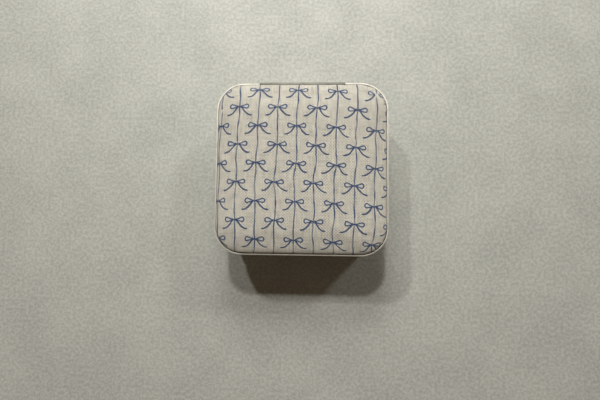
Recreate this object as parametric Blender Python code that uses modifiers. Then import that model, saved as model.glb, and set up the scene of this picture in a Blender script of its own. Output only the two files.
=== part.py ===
"""Hinged square trinket box: a fabric-covered box with metal rims, a padded lid and a velvet-lined inside.

The box stands on Z = 0 with its middle on the Z axis. Its front faces -Y and its hinge is at +Y. The rims of
the base and of the lid meet at the seam, and the hinge's axis lies in the plane of the rims' back faces at the
height of the seam. The lid's rim is shown shut. Sizes are in metres.
"""

import math

import bmesh
import bpy

MM = 0.001

# Outside of the box
SIDE = 100.0 * MM          # over the metal rims, both ways
CORNER = 16.0 * MM         # radius of the rims' corners in plan
SEAM_HEIGHT = 35.0 * MM    # middle of the seam above the table
SEAM_GAP = 0.3 * MM        # between the two rims when the lid is shut
CORNER_STEPS = 8           # facets in a quarter turn of a corner

# Clearances
FIT = 0.3 * MM             # between pieces that touch or are glued
RIVET_FIT = 0.15 * MM      # round a rivet's shank
PIN_FIT = 0.1 * MM         # round the hinge pin

# Pressed metal rims: an L section with its flange at the seam
RIM_SHEET = 0.9 * MM
RIM_BAND = 4.2 * MM        # height of the base rim's band; the lid's is as high as its board
RIM_FLANGE = 6.0 * MM      # width of the flange, from the rim's outer face

# Fabric cover and boards
FABRIC = 0.6 * MM
COVER_TURN = 7.0 * MM      # fabric turned in under the wall
WALL_BOARD = 4.0 * MM
FLOOR_BOARD = 3.0 * MM
PAD_SHEET = 1.2 * MM       # the pad under the box
PAD_INSET = 3.0 * MM       # from the cover's outer face to the pad's edge

# Velvet-covered lining
LINING = 1.2 * MM
HEADROOM = 5.65 * MM         # between the ring pads and the mirror's bezel
DIVIDER = 2.0 * MM
DIVIDER_DROP = 0.7 * MM      # from the top of the ring pads to the top of the dividers
CROSS_PLACE = 10.0 * MM      # middle of the cross divider, right of the box's middle
RING_PADS = 3
RING_PAD = 11.8 * MM         # thickness of one ring pad
RING_PAD_GAP = 0.4 * MM

# Lid
LID_BOARD = 3.0 * MM
LID_RECESS = 1.5 * MM        # depth of the recess under the lid board
SHOULDER_WIDTH = 5.0 * MM    # rounded shoulder of the padded top
SHOULDER_RISE = 4.0 * MM
SHOULDER_STEPS = 5
CROWN_WIDTH = 7.0 * MM       # sloping part of the crown, inside the shoulder
CROWN_RISE = 1.2 * MM
CROWN_STEPS = 3

# Mirror
MIRROR = 1.8 * MM
BEZEL_MARGIN = 5.1 * MM      # from the rim's flange to the bezel
BEZEL_CORNER = 10.0 * MM
BEZEL_SHEET = 0.8 * MM
BEZEL_LIP = 3.2 * MM

# Magnets in the front wall and the steel bars above them
BAR_LENGTH = 10.0 * MM
BAR_THICKNESS = 2.0 * MM
BAR_MARGIN = 3.0 * MM        # from the start of the corner to the end of a bar
MAGNET_DEPTH = 3.0 * MM
STRIKE_DEPTH = 1.7 * MM

# Stop hinge
HINGE_LENGTH = 50.0 * MM
BARREL = 1.2 * MM            # outer radius of the knuckles
PIN = 0.55 * MM              # radius of the pin
LEAF = 0.8 * MM
LEAF_DROP = 9.5 * MM         # from the hinge's axis to the base leaf's lower edge
OPEN_ANGLE = 95.0            # degrees from shut to the stop
STOP_PLAY = 3.2              # degrees more that the heels leave free
KNUCKLES = 4
KNUCKLE_GAP = 0.3 * MM
MIDDLE_GAP = 0.6 * MM        # the gap between the two middle knuckles
NOTCH_WIDTH = 0.9 * MM       # register notch in the middle of the lid leaf
NOTCH_DEPTH = 1.4 * MM
ROUND_STEPS = 20

# Rivets
BASE_RIVET = 0.8 * MM        # radius of the shank
BASE_RIVET_HEAD = 1.5 * MM
LID_RIVET = 0.45 * MM
LID_RIVET_HEAD = 0.85 * MM
RIVET_MARGIN = 7.0 * MM      # from a leaf's end to the middle of its last rivet
RIVET_GRIP = 2.0 * MM        # how far a rivet reaches into the board
RIVET_STEPS = 12

# Sizes that follow from those above
HALF = SIDE / 2
BASE_SEAM = SEAM_HEIGHT - SEAM_GAP / 2
LID_SEAM = SEAM_HEIGHT + SEAM_GAP / 2
COVER_INSET = RIM_SHEET + FIT
BOARD_INSET = COVER_INSET + FABRIC + FIT
LINING_INSET = BOARD_INSET + WALL_BOARD + FIT
CAVITY_INSET = LINING_INSET + LINING
LOOSE_INSET = CAVITY_INSET + FIT
COVER_BOTTOM = PAD_SHEET + FIT
BOARD_BOTTOM = COVER_BOTTOM + FABRIC + FIT
WALL_TOP = BASE_SEAM - RIM_SHEET - FIT
FLOOR_TOP = BOARD_BOTTOM + FLOOR_BOARD
LINING_BOTTOM = FLOOR_TOP + FIT
CAVITY_BOTTOM = LINING_BOTTOM + LINING
LOOSE_BOTTOM = CAVITY_BOTTOM + FIT
LID_BOARD_BOTTOM = LID_SEAM + RIM_SHEET + FIT
LID_BOARD_TOP = LID_BOARD_BOTTOM + LID_BOARD
RIM_TOP = LID_BOARD_TOP
BEZEL_HALF = HALF - RIM_FLANGE - BEZEL_MARGIN
MIRROR_TOP = LID_BOARD_BOTTOM - FIT
BEZEL_BOTTOM = MIRROR_TOP - MIRROR - FIT - BEZEL_SHEET
RING_PAD_TOP = BEZEL_BOTTOM - HEADROOM
DIVIDER_TOP = RING_PAD_TOP - DIVIDER_DROP
BAR_PLACE = HALF - CORNER - BAR_MARGIN - BAR_LENGTH / 2
BAR_LINE = -HALF + BOARD_INSET + WALL_BOARD / 2
AXIS_Y = HALF
HEEL_START = BARREL + FIT
HEEL_END = HEEL_START + LEAF
HEEL_REACH = HEEL_START / math.tan(math.radians(OPEN_ANGLE + STOP_PLAY) / 2)
KNUCKLE_LENGTH = (HINGE_LENGTH - (KNUCKLES - 2) * KNUCKLE_GAP - MIDDLE_GAP) / KNUCKLES
END_RIVET = HINGE_LENGTH / 2 - RIVET_MARGIN
BASE_RIVET_PLACES = (-END_RIVET, 0.0, END_RIVET)
BASE_RIVET_HEIGHT = SEAM_HEIGHT - (HEEL_END + LEAF_DROP) / 2
LID_RIVET_PLACES = (-END_RIVET, END_RIVET)
LID_RIVET_HEIGHT = (SEAM_HEIGHT + HEEL_END + RIM_TOP) / 2
RIVET_END = HALF - BOARD_INSET - RIVET_GRIP


# ---------------------------------------------------------------- scene, collections and materials

def clear_scene():
    for thing in list(bpy.data.objects):
        bpy.data.objects.remove(thing, do_unlink=True)


def new_collection(name):
    group = bpy.data.collections.new(name)
    bpy.context.scene.collection.children.link(group)
    return group


def new_material(name, colour, roughness, metallic=0.0):
    material = bpy.data.materials.new(name)
    material.use_nodes = True
    shader = material.node_tree.nodes["Principled BSDF"]
    shader.inputs["Base Color"].default_value = (*colour, 1.0)
    shader.inputs["Roughness"].default_value = roughness
    shader.inputs["Metallic"].default_value = metallic
    material.diffuse_color = (*colour, 1.0)
    return material


def as_object(name, mesh, group):
    thing = bpy.data.objects.new(name, mesh)
    group.objects.link(thing)
    return thing


def finish_mesh(bm, name, smooth_angle=None):
    mesh = bpy.data.meshes.new(name)
    bm.normal_update()
    bmesh.ops.recalc_face_normals(bm, faces=bm.faces)
    bm.to_mesh(mesh)
    bm.free()
    if smooth_angle is not None:
        mesh.shade_smooth()
        mesh.set_sharp_from_angle(angle=smooth_angle)
    return mesh


class Shop:
    """Holds the collections and the materials, and adds parts and cutters to them."""

    def __init__(self):
        self.parts = new_collection("vanity_trinket_box")
        self.cutters = new_collection("cutters")

    def part(self, name, bm, colour, roughness, metallic=0.0, smooth_angle=math.radians(35)):
        thing = as_object(name, finish_mesh(bm, name, smooth_angle), self.parts)
        thing.data.materials.append(new_material(name, colour, roughness, metallic))
        return thing

    def cutter(self, name, bm):
        thing = as_object(name, finish_mesh(bm, name), self.cutters)
        thing.hide_render = True
        thing.display_type = "WIRE"
        return thing


# ---------------------------------------------------------------- shapes

def box(low, high):
    """A box between two corners."""
    bm = bmesh.new()
    bmesh.ops.create_cube(bm, size=1.0)
    for vert in bm.verts:
        for axis in range(3):
            vert.co[axis] = low[axis] if vert.co[axis] < 0 else high[axis]
    return bm


def rounded_prism(half, radius, low, high):
    """An upright square prism with rounded corners, centred on the Z axis."""
    bm = box((-half, -half, low), (half, half, high))
    upright = [e for e in bm.edges if abs(e.verts[0].co.z - e.verts[1].co.z) > (high - low) / 2]
    bmesh.ops.bevel(
        bm, geom=upright, offset=radius, segments=CORNER_STEPS, profile=0.5, affect="EDGES"
    )
    return bm


def end_face(bm, top):
    """The flat face at the top or at the bottom of an upright prism."""
    level = [f for f in bm.faces if abs(f.normal.z) > 0.9]
    return max(level, key=lambda f: f.calc_center_median().z * (1 if top else -1))


def slab(inset, low, high):
    """A solid board whose outline lies inside the rims' by an inset."""
    return rounded_prism(HALF - inset, CORNER - inset, low, high)


def open_wall(inset, low, high):
    """The outer surface of a wall, open at the top and at the bottom."""
    bm = slab(inset, low, high)
    bm.normal_update()
    ends = [end_face(bm, True), end_face(bm, False)]
    bmesh.ops.delete(bm, geom=ends, context="FACES_ONLY")
    return bm


def flanged_wall(half, radius, low, high, flange, flange_on_top):
    """The outer surface of a wall with an inward flange at one end, open at the other."""
    bm = rounded_prism(half, radius, low, high)
    bm.normal_update()
    open_end = end_face(bm, not flange_on_top)
    flanged_end = end_face(bm, flange_on_top)
    bmesh.ops.inset_region(bm, faces=[flanged_end], thickness=flange, use_even_offset=True)
    bmesh.ops.delete(bm, geom=[open_end, flanged_end], context="FACES_ONLY")
    return bm


def padded_top(inset, low, shoulder_start, width, rise):
    """A low cushion: upright sides, a rounded shoulder and a gently crowned top."""
    bm = slab(inset, low, shoulder_start)
    bm.normal_update()
    top = end_face(bm, True)

    def step(inward, up):
        bmesh.ops.inset_region(bm, faces=[top], thickness=inward, depth=up, use_even_offset=True)

    quarter = math.pi / 2
    for i in range(SHOULDER_STEPS):
        a, b = (quarter * k / SHOULDER_STEPS for k in (i, i + 1))
        step(width * (math.cos(a) - math.cos(b)), rise * (math.sin(b) - math.sin(a)))
    for i in range(CROWN_STEPS):
        a, b = (quarter * k / CROWN_STEPS for k in (i, i + 1))
        step(CROWN_WIDTH / CROWN_STEPS, CROWN_RISE * (math.sin(b) - math.sin(a)))
    return bm


def rod_along_x(radius, low, high, steps, y=AXIS_Y, z=SEAM_HEIGHT):
    """A round rod along X between two places, about a line at y and z."""
    bm = bmesh.new()
    bmesh.ops.create_cone(
        bm, cap_ends=True, segments=steps, radius1=radius, radius2=radius, depth=high - low
    )
    for vert in bm.verts:
        vert.co = (vert.co.z + (low + high) / 2, vert.co.x + y, vert.co.y + z)
    return bm


def rods_along_y(radius, places, low, high, z):
    """Round rods along Y, one at each place along X."""
    bm = bmesh.new()
    for place in places:
        made = bmesh.ops.create_cone(
            bm, cap_ends=True, segments=RIVET_STEPS, radius1=radius, radius2=radius,
            depth=high - low,
        )
        for vert in made["verts"]:
            vert.co = (vert.co.y + place, vert.co.z + (low + high) / 2, vert.co.x + z)
    return bm


def merged(*pieces):
    """One bmesh that holds several."""
    whole = bmesh.new()
    for piece in pieces:
        mesh = bpy.data.meshes.new("merging")
        piece.to_mesh(mesh)
        piece.free()
        whole.from_mesh(mesh)
        bpy.data.meshes.remove(mesh)
    return whole


# ---------------------------------------------------------------- modifiers

def thicken(thing, thickness):
    """Gives an outer surface its wall, inwards."""
    wall = thing.modifiers.new("wall", "SOLIDIFY")
    wall.thickness = thickness
    wall.offset = -1.0
    wall.use_even_offset = True


def boolean(thing, other, operation="DIFFERENCE"):
    change = thing.modifiers.new(other.name, "BOOLEAN")
    change.operation = operation
    change.object = other
    change.solver = "EXACT"


def round_edges(thing, width, segments=2, angle=math.radians(60)):
    bevel = thing.modifiers.new("round_edges", "BEVEL")
    bevel.width = width
    bevel.segments = segments
    bevel.limit_method = "ANGLE"
    bevel.angle_limit = angle


# ---------------------------------------------------------------- materials' values

CHAMPAGNE = (0.72, 0.66, 0.55)
STEEL = (0.62, 0.62, 0.63)
PRINTED_LINEN = (0.62, 0.59, 0.50)
VELVET = (0.16, 0.20, 0.34)
BOARD = (0.42, 0.31, 0.20)
FOAM = (0.80, 0.78, 0.70)
SUEDE = (0.22, 0.21, 0.20)
SILVERED = (0.86, 0.88, 0.90)


# ---------------------------------------------------------------- base

def make_hinge_slot(shop):
    """The space that the hinge takes out of both rims."""
    reach = HINGE_LENGTH / 2 + FIT
    inner = AXIS_Y - BARREL - FIT
    low, high = BASE_SEAM - RIM_BAND - MM, RIM_TOP + MM
    return shop.cutter("hinge_slot", box((-reach, inner, low), (reach, HALF + MM, high)))


def make_base_rim(shop, hinge_slot):
    low = BASE_SEAM - RIM_BAND
    bm = flanged_wall(HALF, CORNER, low, BASE_SEAM, RIM_FLANGE, flange_on_top=True)
    rim = shop.part("base_rim", bm, CHAMPAGNE, 0.3, 1.0)
    thicken(rim, RIM_SHEET)
    boolean(rim, hinge_slot)


def make_base_shell(shop, rivet_holes, magnet_pockets):
    wall = shop.part("base_wall", open_wall(BOARD_INSET, BOARD_BOTTOM, WALL_TOP), BOARD, 0.8)
    thicken(wall, WALL_BOARD)
    boolean(wall, magnet_pockets)
    boolean(wall, rivet_holes)

    shop.part("base_floor", slab(LINING_INSET, BOARD_BOTTOM, FLOOR_TOP), BOARD, 0.8)

    bm = flanged_wall(
        HALF - COVER_INSET, CORNER - COVER_INSET, COVER_BOTTOM, WALL_TOP, COVER_TURN,
        flange_on_top=False,
    )
    cover = shop.part("base_cover", bm, PRINTED_LINEN, 0.85)
    thicken(cover, FABRIC)
    boolean(cover, rivet_holes)

    pad = shop.part("bottom_pad", slab(COVER_INSET + PAD_INSET, 0.0, PAD_SHEET), SUEDE, 0.9)
    round_edges(pad, 0.3 * MM, segments=1)


def make_magnets(shop):
    """Two bar magnets in the top of the front wall, and the pockets that hold them."""
    pockets = []
    for name, side in (("magnet_left", -1), ("magnet_right", 1)):
        x = side * BAR_PLACE
        low = (x - BAR_LENGTH / 2, BAR_LINE - BAR_THICKNESS / 2, WALL_TOP - MAGNET_DEPTH)
        high = (x + BAR_LENGTH / 2, BAR_LINE + BAR_THICKNESS / 2, WALL_TOP)
        shop.part(name, box(low, high), STEEL, 0.35, 1.0)
        pockets.append(box([v - FIT for v in low], (high[0] + FIT, high[1] + FIT, WALL_TOP + MM)))
    return shop.cutter("magnet_pockets", merged(*pockets))


def make_strikes(shop):
    """Two steel bars let into the lid board from below, over the magnets."""
    pockets = []
    for name, side in (("strike_left", -1), ("strike_right", 1)):
        x = side * BAR_PLACE
        low = (x - BAR_LENGTH / 2, BAR_LINE - BAR_THICKNESS / 2, LID_BOARD_BOTTOM)
        high = (x + BAR_LENGTH / 2, BAR_LINE + BAR_THICKNESS / 2, LID_BOARD_BOTTOM + STRIKE_DEPTH)
        shop.part(name, box(low, high), STEEL, 0.4, 1.0)
        bottom = LID_BOARD_BOTTOM - MM
        pockets.append(box((low[0] - FIT, low[1] - FIT, bottom), [v + FIT for v in high]))
    return shop.cutter("strike_pockets", merged(*pockets))


def make_lining(shop):
    wall = shop.part(
        "base_lining", open_wall(LINING_INSET, LINING_BOTTOM, WALL_TOP), VELVET, 0.95
    )
    thicken(wall, LINING)
    shop.part("lining_floor", slab(LOOSE_INSET, LINING_BOTTOM, CAVITY_BOTTOM), VELVET, 0.95)


def make_dividers_and_ring_pads(shop):
    """What stands in the box: ring pads at the back, and two compartments in front of them."""
    back = HALF - LOOSE_INSET
    past = HALF
    core = shop.cutter("cavity_core", slab(LOOSE_INSET, 0.0, SEAM_HEIGHT + SIDE / 4))

    pitch = RING_PAD + RING_PAD_GAP
    for i in range(RING_PADS):
        rear = back - i * pitch
        bm = box((-past, rear - RING_PAD, LOOSE_BOTTOM), (past, rear, RING_PAD_TOP))
        ridges = [
            e for e in bm.edges
            if all(v.co.z > RING_PAD_TOP - MM for v in e.verts)
            and abs(e.verts[0].co.x - e.verts[1].co.x) > past
        ]
        bmesh.ops.bevel(
            bm, geom=ridges, offset=RING_PAD * 0.49, segments=6, profile=0.5, affect="EDGES"
        )
        pad = shop.part(f"ring_pad_{i + 1}", bm, VELVET, 0.95)
        boolean(pad, core, "INTERSECT")

    rear = back - RING_PADS * pitch + RING_PAD_GAP - FIT
    front = rear - DIVIDER
    bm = box((-past, front, LOOSE_BOTTOM), (past, rear, DIVIDER_TOP))
    long = shop.part("divider_long", bm, VELVET, 0.95)
    boolean(long, core, "INTERSECT")
    round_edges(long, 0.4 * MM)

    low = (CROSS_PLACE - DIVIDER / 2, -past, LOOSE_BOTTOM)
    high = (CROSS_PLACE + DIVIDER / 2, front - FIT, DIVIDER_TOP)
    cross = shop.part("divider_cross", box(low, high), VELVET, 0.95)
    boolean(cross, core, "INTERSECT")
    round_edges(cross, 0.4 * MM)


# ---------------------------------------------------------------- hinge

def knuckle_spans():
    """The stretches along X that the knuckles take, from left to right."""
    spans = []
    x = -HINGE_LENGTH / 2
    for i in range(KNUCKLES):
        spans.append((x, x + KNUCKLE_LENGTH))
        x += KNUCKLE_LENGTH + (MIDDLE_GAP if i == KNUCKLES // 2 - 1 else KNUCKLE_GAP)
    return spans


def make_leaf(shop, name, side, far_edge, spans, bore, holes):
    """One leaf: its plate and stop heel, its own knuckles with their webs, the bore and the rivet holes.

    side is 1 for the lid's leaf, which stands above the axis, and -1 for the base's, below it.
    """
    def heights(near, far):
        return sorted((SEAM_HEIGHT + side * near, SEAM_HEIGHT + side * far))

    end = HINGE_LENGTH / 2
    low, high = heights(HEEL_START, far_edge)
    bm = box((-end, AXIS_Y - LEAF, low), (end, AXIS_Y, high))
    bm.normal_update()
    split = SEAM_HEIGHT + side * HEEL_END
    bmesh.ops.bisect_plane(
        bm, geom=bm.verts[:] + bm.edges[:] + bm.faces[:], plane_co=(0, 0, split), plane_no=(0, 0, 1)
    )
    bm.normal_update()
    heel = [
        f for f in bm.faces
        if f.normal.y > 0.9 and side * (f.calc_center_median().z - split) < 0
    ]
    grown = bmesh.ops.extrude_face_region(bm, geom=heel)
    for item in grown["geom"]:
        if isinstance(item, bmesh.types.BMVert):
            item.co.y = AXIS_Y + HEEL_REACH
    bmesh.ops.delete(bm, geom=heel, context="FACES_ONLY")
    leaf = shop.part(name, bm, CHAMPAGNE, 0.32, 1.0)

    webs = []
    for start, stop in spans:
        low, high = heights(BARREL * 0.25, HEEL_START + LEAF / 2)
        inset = LEAF * 0.06
        webs.append(box((start, AXIS_Y - LEAF + inset, low), (stop, AXIS_Y - inset, high)))
    rods = [rod_along_x(BARREL, start, stop, ROUND_STEPS) for start, stop in spans]
    boolean(leaf, shop.cutter(f"{name}_webs", merged(*webs)), "UNION")
    boolean(leaf, shop.cutter(f"{name}_knuckles", merged(*rods)), "UNION")
    boolean(leaf, bore)
    boolean(leaf, holes)
    return leaf


def make_hinge(shop, base_holes, lid_holes):
    end = HINGE_LENGTH / 2
    bore = shop.cutter("hinge_bore", rod_along_x(PIN + PIN_FIT, -end - MM, end + MM, ROUND_STEPS))
    spans = knuckle_spans()
    make_leaf(shop, "hinge_leaf_base", -1, LEAF_DROP, spans[0::2], bore, base_holes)
    lid_leaf = make_leaf(
        shop, "hinge_leaf_lid", 1, RIM_TOP - SEAM_HEIGHT, spans[1::2], bore, lid_holes
    )
    notch = box(
        (-NOTCH_WIDTH / 2, AXIS_Y - LEAF - MM, RIM_TOP - NOTCH_DEPTH),
        (NOTCH_WIDTH / 2, AXIS_Y + MM, RIM_TOP + MM),
    )
    boolean(lid_leaf, shop.cutter("register_notch", notch))
    pin = shop.part("hinge_pin", rod_along_x(PIN, -end, end, ROUND_STEPS), STEEL, 0.3, 1.0)
    round_edges(pin, 0.12 * MM, segments=1)


def rivet_mesh(name, shank, head):
    """A domed rivet: its profile runs from the top of the head down to the shank's end."""
    rise = head * 0.45
    steps = 4
    arc = [(head * math.sin(k * math.pi / 2 / steps), rise * math.cos(k * math.pi / 2 / steps))
           for k in range(steps + 1)]
    length = HALF + FIT - RIVET_END
    profile = arc + [(shank, 0.0), (shank, -length), (0.0, -length)]
    mesh = bpy.data.meshes.new(name)
    edges = [(i, i + 1) for i in range(len(profile) - 1)]
    mesh.from_pydata([(x, 0.0, z) for x, z in profile], edges, [])
    return mesh


def make_rivet_holes(shop, name, places, height, shank):
    rods = rods_along_y(shank + RIVET_FIT, places, RIVET_END - FIT, HALF + MM, height)
    return shop.cutter(name, rods)


def make_rivets(shop, name, places, height, shank, head):
    mesh = rivet_mesh(name, shank, head)
    mesh.materials.append(new_material(name, CHAMPAGNE, 0.3, 1.0))
    for i, place in enumerate(places):
        rivet = as_object(f"{name}_{i + 1}", mesh, shop.parts)
        rivet.location = (place, HALF + FIT, height)
        rivet.rotation_euler = (-math.pi / 2, 0.0, 0.0)
        turn = rivet.modifiers.new("turn", "SCREW")
        turn.axis = "Z"
        turn.steps = RIVET_STEPS
        turn.render_steps = RIVET_STEPS
        turn.use_merge_vertices = True
        turn.merge_threshold = 0.00001
        turn.use_smooth_shade = True


# ---------------------------------------------------------------- lid

def make_lid_rim(shop, hinge_slot):
    bm = flanged_wall(HALF, CORNER, LID_SEAM, RIM_TOP, RIM_FLANGE, flange_on_top=False)
    rim = shop.part("lid_rim", bm, CHAMPAGNE, 0.3, 1.0)
    thicken(rim, RIM_SHEET)
    boolean(rim, hinge_slot)


def make_lid_panel(shop, rivet_holes, strike_pockets):
    board = shop.part("lid_board", slab(BOARD_INSET, LID_BOARD_BOTTOM, LID_BOARD_TOP), BOARD, 0.8)
    recess = slab(BOARD_INSET + WALL_BOARD, LID_BOARD_BOTTOM - MM, LID_BOARD_BOTTOM + LID_RECESS)
    boolean(board, shop.cutter("lid_recess", recess))
    boolean(board, strike_pockets)
    boolean(board, rivet_holes)

    bm = padded_top(COVER_INSET, LID_BOARD_BOTTOM, RIM_TOP, SHOULDER_WIDTH, SHOULDER_RISE)
    bm.normal_update()
    bmesh.ops.delete(bm, geom=[end_face(bm, False)], context="FACES_ONLY")
    cover = shop.part("lid_cover", bm, PRINTED_LINEN, 0.85)
    thicken(cover, FABRIC)
    boolean(cover, rivet_holes)

    under = FABRIC + FIT
    bm = padded_top(
        COVER_INSET + under, LID_BOARD_TOP + FIT, LID_BOARD_TOP + 2 * FIT,
        SHOULDER_WIDTH - under, SHOULDER_RISE - under - 2 * FIT,
    )
    shop.part("lid_pad", bm, FOAM, 0.9)

    top = LID_BOARD_BOTTOM + LID_RECESS - FIT
    shop.part("lid_lining", slab(LINING_INSET, LID_BOARD_BOTTOM, top), VELVET, 0.95)


def make_mirror(shop):
    bm = flanged_wall(
        BEZEL_HALF, BEZEL_CORNER, BEZEL_BOTTOM, MIRROR_TOP, BEZEL_LIP, flange_on_top=False
    )
    bezel = shop.part("mirror_bezel", bm, CHAMPAGNE, 0.3, 1.0)
    thicken(bezel, BEZEL_SHEET)
    inset = BEZEL_SHEET + FIT
    bm = rounded_prism(BEZEL_HALF - inset, BEZEL_CORNER - inset, MIRROR_TOP - MIRROR, MIRROR_TOP)
    shop.part("mirror", bm, SILVERED, 0.03, 1.0)


# ---------------------------------------------------------------- whole box

def main():
    clear_scene()
    shop = Shop()

    base_holes = make_rivet_holes(shop, "base_rivet_holes", BASE_RIVET_PLACES, BASE_RIVET_HEIGHT, BASE_RIVET)
    lid_holes = make_rivet_holes(shop, "lid_rivet_holes", LID_RIVET_PLACES, LID_RIVET_HEIGHT, LID_RIVET)
    hinge_slot = make_hinge_slot(shop)

    make_base_shell(shop, base_holes, make_magnets(shop))
    make_base_rim(shop, hinge_slot)
    make_lining(shop)
    make_dividers_and_ring_pads(shop)
    make_hinge(shop, base_holes, lid_holes)
    make_rivets(
        shop, "base_rivet", BASE_RIVET_PLACES, BASE_RIVET_HEIGHT, BASE_RIVET, BASE_RIVET_HEAD
    )
    make_lid_rim(shop, hinge_slot)
    make_lid_panel(shop, lid_holes, make_strikes(shop))
    make_mirror(shop)
    make_rivets(shop, "lid_rivet", LID_RIVET_PLACES, LID_RIVET_HEIGHT, LID_RIVET, LID_RIVET_HEAD)


main()
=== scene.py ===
"""Looks of the hinged trinket box: printed linen, a padded lid, thin plated rims and a velvet-lined inside.

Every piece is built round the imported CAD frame, in metres. The box stands on Z = 0, its front faces -Y and
its hinge is at +Y. Sizes that the frame knows are read from it, and the rest are named here.
"""

import logging
import math
from collections.abc import Callable, Iterator
from contextlib import contextmanager
from dataclasses import dataclass, field
from enum import Enum
from functools import cache

import bmesh
import bpy
from mathutils import Matrix, Vector, noise


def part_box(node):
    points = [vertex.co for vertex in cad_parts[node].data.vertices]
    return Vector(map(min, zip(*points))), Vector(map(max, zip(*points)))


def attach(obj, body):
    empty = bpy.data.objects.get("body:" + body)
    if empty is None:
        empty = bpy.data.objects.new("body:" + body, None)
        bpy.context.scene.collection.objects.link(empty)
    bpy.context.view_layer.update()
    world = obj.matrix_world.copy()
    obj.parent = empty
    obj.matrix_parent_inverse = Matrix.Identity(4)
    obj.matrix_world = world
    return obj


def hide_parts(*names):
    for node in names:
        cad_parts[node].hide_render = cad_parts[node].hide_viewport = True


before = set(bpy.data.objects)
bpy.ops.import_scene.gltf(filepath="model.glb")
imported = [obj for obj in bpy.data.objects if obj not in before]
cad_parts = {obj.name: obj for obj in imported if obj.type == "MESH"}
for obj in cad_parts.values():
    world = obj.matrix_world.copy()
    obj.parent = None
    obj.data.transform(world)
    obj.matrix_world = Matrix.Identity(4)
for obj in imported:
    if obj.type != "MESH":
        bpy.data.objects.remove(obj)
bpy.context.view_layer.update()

LOG = logging.getLogger("trinket_box")
MM = 0.001
CORNER = 16.0 * MM           # radius of the rims' corners in plan
CORNER_STEPS = 20            # facets in a quarter turn of a corner
FIT = 0.3 * MM               # between pieces that touch
UP, DOWN, FRONT = Vector((0, 0, 1)), Vector((0, 0, -1)), Vector((0, -1, 0))
LEVEL = 0.99999              # a face's normal reaches this only where the face is level
QUARTER_TURN = math.pi / 2
CLOTH_MAP = "cloth"          # name of the UV map that holds the place on the flat cloth

FaceTest = Callable[[bmesh.types.BMFace], bool]
EdgeTest = Callable[[bmesh.types.BMEdge], bool]
Unroll = Callable[[Vector, Vector], tuple[float, float]]
Colour = tuple[float, float, float]
Stretch = tuple[float, float, float]


class Body(Enum):
    """The CAD bodies that a piece may ride on."""

    BASE = "base"
    LID = "lid"


class Slot(Enum):
    """Names of the material slots."""

    RIM_METAL = "rim_metal"
    HINGE_METAL = "hinge_metal"
    STEEL = "steel"
    PRINTED_LINEN = "printed_linen"
    VELVET = "velvet"
    VELVET_PAD = "velvet_pad"
    SUEDE = "suede"
    BOARD = "board"
    FOAM = "foam"
    MIRROR = "mirror"


# ---------------------------------------------------------------- outline of the box in plan

@dataclass(frozen=True)
class Outline:
    """A square with rounded corners, centred on the Z axis.

    Attributes:
        half: Half of the side.
        corner: Radius of the corners.
    """

    half: float
    corner: float

    @property
    def core(self) -> float:
        """Half of the square on which the corners' centres lie."""
        return self.half - self.corner

    def inset(self, distance: float) -> "Outline":
        """The outline that lies inside this one by a distance."""
        return Outline(self.half - distance, self.corner - distance)

    def nearest_core(self, point: Vector) -> Vector:
        """The point of the core square nearest to a point, in plan."""
        core = self.core
        return Vector((max(-core, min(core, point.x)), max(-core, min(core, point.y)), 0.0))

    def reach(self, point: Vector) -> float:
        """How far a point lies outside the core square, in plan."""
        return (Vector((point.x, point.y, 0.0)) - self.nearest_core(point)).length

    def outward(self, point: Vector) -> Vector:
        """The direction in plan from the core square to a point."""
        away = Vector((point.x, point.y, 0.0)) - self.nearest_core(point)
        return away.normalized() if away.length > 1e-9 else Vector((0.0, 0.0, 0.0))

    def length(self) -> float:
        """Distance once round the outline."""
        return 4 * (2 * self.core + self.corner * QUARTER_TURN)

    def along(self, point: Vector) -> float:
        """Distance round the outline to a point, anticlockwise from the right end of the back's side.

        Args:
            point: The point, whose height doesn't count.

        Returns:
            The distance along the outline.
        """
        core, quarter = self.core, self.corner * QUARTER_TURN
        for side in range(4):
            turn = QUARTER_TURN * (side + 1)
            out = Vector((math.cos(turn), math.sin(turn)))
            tangent = Vector((-out.y, out.x))
            ahead, across = point.xy.dot(out), point.xy.dot(tangent)
            start = side * (2 * core + quarter)
            if abs(across) <= core and ahead >= abs(across):
                return start + across + core
            if across > core and ahead > core:
                angle = math.atan2(across - core, ahead - core)
                return start + 2 * core + self.corner * angle
        return 0.0


@cache
def node_box(node: str) -> tuple[Vector, Vector]:
    """Lowest and highest corner of a CAD node."""
    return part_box(node)


RIM_OUTLINE = Outline(node_box("lid_rim")[1].x, CORNER)


def outline_of(node: str) -> Outline:
    """The outline of a node that keeps one distance from the rims' outer face."""
    return RIM_OUTLINE.inset(RIM_OUTLINE.half - node_box(node)[1].x)


# ---------------------------------------------------------------- work with mesh operators

def facing(direction: Vector, least: float = 0.9) -> FaceTest:
    """A test for faces that look along a direction."""
    return lambda face: face.normal.dot(direction) > least


def upright_edge(edge: bmesh.types.BMEdge) -> bool:
    """Whether an edge stands upright."""
    rise = edge.verts[0].co - edge.verts[1].co
    return abs(rise.z) > 0.9 * rise.length


def activate(thing: bpy.types.Object) -> None:
    """Makes one object the only selected and the active one.

    Args:
        thing: The object.
    """
    bpy.ops.object.select_all(action="DESELECT")
    thing.select_set(True)
    bpy.context.view_layer.objects.active = thing


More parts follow.
